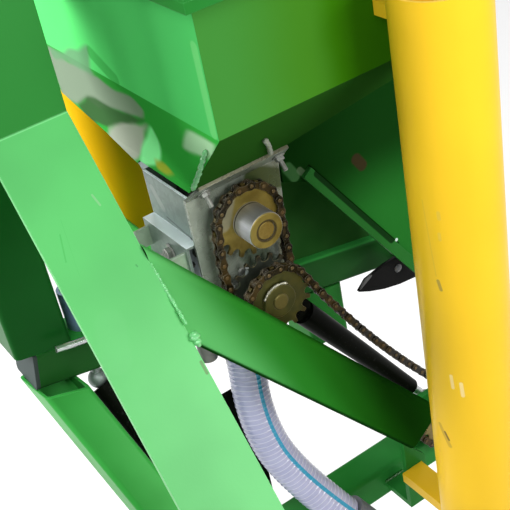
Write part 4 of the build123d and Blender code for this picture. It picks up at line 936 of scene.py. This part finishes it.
for node, axle_x, axle_z, tone, shade, marks in SPROCKETS:
    plating = Finish(node + "_plating")
    centre = spot(axle_x, 0, axle_z)
    off_x, off_z = plating.part("X") - centre.x, plating.part("Z") - centre.z
    away = plating.node("Math", {"operation": "SQRT"}, {0: off_x * off_x + off_z * off_z})
    tarnish = plating.noise(70.0, 3.0)
    gold = plating.blend(plating.step(tarnish, 0.35, 0.7), tone, shade)
    gold = plating.blend(plating.worn_edges(0.0008) * 0.5, gold, GOLD_WORN)
    gold = plating.blend(plating.step(away, 0.029, 0.034) * 0.6, gold, CHAIN_GRIME)
    if node == "metering_sprocket":
        gold = bright_hub(plating, away, gold)
    plating.set(Base_Color=marked(plating, gold, marks), Metallic=0.65, Roughness=0.3 + 0.2 * tarnish,
                Normal=plating.rounded(0.0005, tarnish, 0.15))
    coat(plating, node)
tack_line = []
for degrees in TACK_DEGREES:
    turn = radians(degrees)
    x, y, z = TACK_PLACE
    tack_line.append(spot(x + TACK_R * cos(turn), y, z + TACK_R * sin(turn)))
tack_reach = bead_reach(TACK_HALF_WIDTH, line_length(tack_line), 3)
tack_mesh = bmesh.new()
tube_along(tack_mesh, tack_line, 10, tack_reach, (0, 1, 0))
tack_finish = grained("tack_weld", (0.10, 0.10, 0.06), (0.60, 0.60, 0.50), 400.0,
                      rough=0.2, edge=0.0003, bump=0.4, metallic=0.7)
piece("jackshaft_hub_weld", tack_mesh, "jackshaft_body", tack_finish)


# Shafts: bright drawn bar, finely turned at the ends, with oil drawn out round them. They
# run in flanged bearings whose cast housings are galvanised.
shaft_finish = grained("bright_bar", (0.20, 0.145, 0.035), (0.30, 0.23, 0.07), 600.0, rough=0.22,
                       edge=0.0006, bump=0.1, metallic=0.9, detail=2.0, stretch=(1.0, 0.05, 1.0))
coat(shaft_finish, "metering_shaft", "drive_shaft")
jackshaft_finish = grained("jackshaft_plating", (0.085, 0.075, 0.018), (0.14, 0.12, 0.035), 300.0, rough=0.3,
                           edge=0.0008, bump=0.1, metallic=0.6, specular=0.3, detail=2.0)
coat(jackshaft_finish, "jackshaft")
bearing_finish = Finish("bearing_housing")
bearing_finish.set(Base_Color=galvanised(bearing_finish, (0.34, 0.36, 0.38), (0.20, 0.22, 0.23)))
coat(bearing_finish, "metering_front_bearing", "metering_rear_bearing", "jackshaft_bearing", "drive_bearing")


# Half-inch roller chains: waisted side plates stamped from strip, hardened rollers, and
# pins riveted over at both ends, all brown and black with old oil and rust.
PITCH = 12.7
TEETH = 16
PITCH_R = PITCH / (2 * sin(pi / TEETH))
LINK_END_R = 4.2
LINK_END_ARC = 236.0
LINK_WAIST = 2.9
LINK_RIM_ROUND = 0.3
LINK_THICKNESS = 1.2
INNER_LINK_HALF_GAP = 1.75
OUTER_LINK_STEP = 1.35
ROLLER_R = 3.9
ROLLER_HALF_WIDTH = 1.6
ROLLER_PROFILE = [(0, ROLLER_R - 0.4), (0.3, ROLLER_R), (2.9, ROLLER_R), (3.2, ROLLER_R - 0.4)]
PIN_R = 1.8
PIN_START = 1.5
PIN_PROFILE = [(0, PIN_R), (3.3, PIN_R), (3.5, PIN_R - 0.25), (3.6, PIN_R - 0.7), (3.45, 0.5)]
CHAINS = [  # node, middle's Y, sprocket a, sprocket b, links, first seat in degrees, dips
    ("metering_chain", -2.0, (0.0, 0.0), (0.0, -76.2), 28, 31.85, (0.0, -2.5)),
    ("drive_chain", -26.3, (0.0, -76.2), (177.54, -339.42), 66, 34.1, (10.0, 0.0)),
]
CHAIN_STEELS = [  # part of the chain, oiled steel, rust, bare edges, how much rust
    ("plate", (0.013, 0.010, 0.004), (0.060, 0.037, 0.008), (0.50, 0.46, 0.36), 0.8),
    ("roller", (0.03, 0.025, 0.02), (0.12, 0.08, 0.03), (0.55, 0.52, 0.46), 0.5),
    ("pin", (0.11, 0.075, 0.03), (0.13, 0.07, 0.02), (0.45, 0.38, 0.26), 0.5),
]


def loop_path(a, b, links, first_angle, dips):
    """Roller centres of a chain round two equal sprockets, as the solids have them."""
    ax, az = a
    bx, bz = b
    distance = hypot(bx - ax, bz - az)
    along = atan2(bz - az, bx - ax)
    arc = pi * PITCH_R
    total = 2 * arc + 2 * distance
    out = along + pi / 2

    def strand(start_x, start_z, heading, s, dip):
        """The place at s along a free run that dips in its middle and clears both sprockets."""
        low = 4 * dip * s * (distance - s) / distance**2
        x = start_x + s * cos(heading) + low * sin(heading)
        z = start_z + s * sin(heading) - low * cos(heading)
        for cx, cz in (a, b):
            away = hypot(x - cx, z - cz)
            if away < PITCH_R:
                x, z = cx + (x - cx) * PITCH_R / away, cz + (z - cz) * PITCH_R / away
        return (x, z)

    def point(s):
        """The place at s along the loop, which starts on sprocket a's outer side."""
        s = s % total
        if s < distance:
            return strand(ax + PITCH_R * cos(out), az + PITCH_R * sin(out), along, s, dips[0])
        if s < distance + arc:
            angle = out - (s - distance) / PITCH_R
            return (bx + PITCH_R * cos(angle), bz + PITCH_R * sin(angle))
        if s < 2 * distance + arc:
            back_x, back_z = bx - PITCH_R * cos(out), bz - PITCH_R * sin(out)
            return strand(back_x, back_z, along + pi, s - distance - arc, dips[1])
        angle = out - pi - (s - 2 * distance - arc) / PITCH_R
        return (ax + PITCH_R * cos(angle), az + PITCH_R * sin(angle))

    def march(step):
        """Places along the loop that lie one step apart in a straight line."""
        places = [start]
        for _ in range(links):
            low, high = places[-1] + 0.5 * step, places[-1] + 1.5 * step
            here = point(places[-1])
            for _ in range(40):
                middle = (low + high) / 2
                there = point(middle)
                if hypot(there[0] - here[0], there[1] - here[1]) < step:
                    low = middle
                else:
                    high = middle
            places.append(low)
        return places

    start = 2 * distance + arc + ((along - pi / 2 - radians(first_angle)) % (2 * pi)) * PITCH_R
    low, high = 0.98 * PITCH, 1.02 * PITCH
    for _ in range(40):
        step = (low + high) / 2
        if march(step)[-1] - start < total:
            low = step
        else:
            high = step
    return [point(s) for s in march(step)[:-1]]


link_outline = []  # u, w and the outward direction there
for side in (1, -1):
    for count in range(11):
        turn = radians(LINK_END_ARC * (count / 10 - 0.5))
        link_outline.append((side * (PITCH / 2 + LINK_END_R * cos(turn)), side * LINK_END_R * sin(turn),
                             side * cos(turn), side * sin(turn)))
    link_outline.append((0.0, side * LINK_WAIST, 0.0, side * 1.0))


def link_plate(mesh, middle, heading, near, far):
    """One waisted plate from Y near to Y far, its rims rounded."""
    x, z = middle
    rings = []
    for y, inset in ((near, LINK_RIM_ROUND), (near + LINK_RIM_ROUND, 0.0),
                     (far - LINK_RIM_ROUND, 0.0), (far, LINK_RIM_ROUND)):
        ring = []
        for u, w, out_u, out_w in link_outline:
            u, w = u - inset * out_u, w - inset * out_w
            ring.append(mesh.verts.new(spot(x + u * cos(heading) - w * sin(heading), y,
                                            z + u * sin(heading) + w * cos(heading))))
        rings.append(ring)
    skin(mesh, rings)


def chain_steel(name, oiled, rust, bare, amount):
    """Oiled steel with rust in patches and bare metal on its edges."""
    finish = Finish(name, 0.2)
    rusty = finish.step(finish.noise(90.0, 3.0), 0.42, 0.62)
    grain = finish.noise(900.0, 2.0)
    colour = finish.blend(rusty * amount, oiled, rust)
    colour = finish.blend(finish.worn_edges(0.0005, 0.96, 0.8) * 0.6, colour, bare)
    finish.set(Base_Color=colour, Metallic=0.3, Roughness=0.25 + 0.3 * rusty,
               Normal=finish.rounded(0.0003, grain, 0.15))
    return finish


steels = {name: chain_steel(f"chain_{name}_steel", *looks) for name, *looks in CHAIN_STEELS}
for node, middle_y, a, b, links, first_angle, dips in CHAINS:
    seats = loop_path(a, b, links, first_angle, dips)
    meshes = {name: bmesh.new() for name in steels}
    for index, (x, z) in enumerate(seats):
        next_x, next_z = seats[(index + 1) % links]
        heading = atan2(next_z - z, next_x - x)
        gap = INNER_LINK_HALF_GAP + (index % 2) * OUTER_LINK_STEP
        middle = ((x + next_x) / 2, (z + next_z) / 2)
        link_plate(meshes["plate"], middle, heading, middle_y - gap - LINK_THICKNESS, middle_y - gap)
        link_plate(meshes["plate"], middle, heading, middle_y + gap, middle_y + gap + LINK_THICKNESS)
        turned(meshes["roller"], spot(x, middle_y - ROLLER_HALF_WIDTH, z), (0, 1, 0), ROLLER_PROFILE, 16)
        for way in (-1, 1):
            turned(meshes["pin"], spot(x, middle_y + way * PIN_START, z), (0, way, 0), PIN_PROFILE, 12)
    for name, mesh in meshes.items():
        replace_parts(piece(f"{node}_{name}s", mesh, "frame", steels[name]), node)


# The feed roller in the box: black plastic with round flutes, moulded and pushed on the
# shaft, and dusted with fertiliser.
roller_finish = grained("roller_plastic", (0.02, 0.02, 0.022), (0.20, 0.19, 0.17), 50.0, rough=0.5,
                        edge=0.0008, bump=0.1, detail=4.0, spread=0.3, band=(0.5, 0.75))
coat(roller_finish, "feed_roller")


# The spring strut behind the brace: black gloss tube on a bright rod, on a steel pin
# from the cross beam. The second strut and the hose guide have the same paint.
strut_finish = grained("strut_enamel", (0.005, 0.006, 0.004), (0.016, 0.017, 0.015), 300.0, rough=0.28,
                       edge=0.0008, bump=0.05, specular=0.02, detail=2.0, spread=0.15, band=(0.6, 0.75))
coat(strut_finish, "strut_body", "strut_pin", "second_strut", "hose_guide")
rod_finish = grained("bright_rod", (0.42, 0.44, 0.44), (0.60, 0.62, 0.62), 50.0, rough=0.2,
                     edge=0.0006, metallic=0.9, detail=2.0, spread=0.15)
coat(rod_finish, "strut_rod", "control_rod")


# The black cover low on the right: pressed sheet in thick gloss paint, held by a rivet. A
# painted highlight runs along its left edge, and another is painted by the rivet.
COVER_BLACK = (0.008, 0.008, 0.008)
COVER_SWIRL = (0.014, 0.014, 0.014)
COVER_PAINTED_HIGHLIGHTS = [
    # Painted highlights.
    ((162.9, 60.0, -180.5), (147.9, 60.0, -188.2), 3.2, (0.20, 0.20, 0.20), 0.7),
    ((200.9, 60.0, -190.4), (201.2, 60.0, -190.7), 3.6, (0.13, 0.13, 0.13), 0.7),
]
RIVET_GREY = (0.05, 0.05, 0.055)
RIVET_WORN = (0.12, 0.125, 0.13)
RIVET_HEAD = [(0, 5.0), (0.8, 4.8), (1.7, 3.6), (2.2, 1.8), (2.3, 0.3)]
cover_finish = Finish("cover_enamel", 0.02)
swirl = cover_finish.noise(12.0, 2.0)
cover_tone = marked(cover_finish, cover_finish.blend(swirl, COVER_BLACK, COVER_SWIRL), COVER_PAINTED_HIGHLIGHTS)
cover_finish.set(Base_Color=cover_tone, Roughness=0.14 + 0.1 * swirl,
                 Normal=cover_finish.rounded(0.003, swirl, 0.1, 0.01))
coat(cover_finish, "side_cover")
rivet_finish = Finish("cover_rivet_enamel", 0.6)
rivet_tone = rivet_finish.blend(rivet_finish.noise(200.0), RIVET_GREY, RIVET_WORN)
rivet_finish.set(Base_Color=rivet_tone, Roughness=0.2)
rivet_mesh = bmesh.new()
turned(rivet_mesh, spot(200.9, 60.0, -190.4), (0, -1, 0), RIVET_HEAD)
piece("cover_rivet", rivet_mesh, "frame", rivet_finish)


# The beam's end cap of dull grey plastic, pushed into the tube, and the phosphated steel
# ball on the second strut below it.
cap_finish = grained("end_cap_plastic", (0.040, 0.058, 0.054), (0.065, 0.082, 0.078), 160.0, rough=0.45,
                     edge=0.002, bump=0.05, specular=0.12, stretch=(1.0, 1.0, 0.2))
coat(cap_finish, "beam_end_cap")
ball_finish = grained("phosphated_ball", (0.20, 0.24, 0.23), (0.36, 0.42, 0.40), 90.0, rough=0.35,
                      edge=0.0008, metallic=0.4)
coat(ball_finish, "strut_ball")


# Workshop floor and light: a pale floor below the held part, soft lamps above it at the
# left and right front, one at its left, a weak one behind, and an even pale room.
FLOOR_DROP = 0.10
FLOOR_HALF = 6.0
FLOOR_GREY = (0.60, 0.60, 0.60)
FLOOR_PALE = (0.66, 0.66, 0.66)
FLOOR_GLOW = (0.5, 0.5, 0.5)
ROOM_LEVEL = 0.38
LAMPS = [  # name, place, aim, size in metres, power in watts
    ("key_lamp", (-0.40, -0.60, 0.45), (0.05, -0.08, -0.40), 0.45, 3.8),
    ("right_lamp", (0.38, -0.97, 0.05), (0.25, -0.18, -0.40), 0.5, 7.3),
    ("left_lamp", (-0.75, 0.55, 0.10), (0.10, 0.12, -0.30), 0.6, 15.0),
    ("back_lamp", (0.9, 1.1, 0.8), (0.15, 0.05, -0.35), 0.9, 6.0),
]
world = bpy.data.worlds.new("room")
world.use_nodes = True
bpy.context.scene.world = world
room = Nodes(world.node_tree)
ground = world.node_tree.nodes["Background"]
ground.inputs["Color"].default_value = (1, 1, 1, 1)
room.feed(ground.inputs["Strength"], room.unseen() * (1.0 - ROOM_LEVEL) + ROOM_LEVEL)

floor_finish = Finish("floor_paint")
floor_tone = floor_finish.blend(floor_finish.noise(40.0, 3.0), FLOOR_GREY, FLOOR_PALE)
floor_glow = floor_finish.blend(floor_finish.unseen(), (0, 0, 0), FLOOR_GLOW)
floor_finish.set(Base_Color=floor_tone, Roughness=0.9, Emission_Color=floor_glow, Emission_Strength=1.0)
floor_mesh = bmesh.new()
bmesh.ops.create_grid(floor_mesh, x_segments=1, y_segments=1, size=FLOOR_HALF)
floor_data = bpy.data.meshes.new("floor")
floor_mesh.to_mesh(floor_data)
floor_mesh.free()
floor_data.materials.append(floor_finish.material)
workshop_floor = bpy.data.objects.new("floor", floor_data)
workshop_floor.location = (0, 0, cad_box[0][2] - FLOOR_DROP)
bpy.context.scene.collection.objects.link(workshop_floor)
for name, place, aim, size, power in LAMPS:
    lamp = bpy.data.objects.new(name, bpy.data.lights.new(name, "AREA"))
    lamp.data.size = size
    lamp.data.energy = power
    lamp.location = place
    lamp.rotation_euler = (Vector(place) - Vector(aim)).to_track_quat("Z", "Y").to_euler()
    bpy.context.scene.collection.objects.link(lamp)
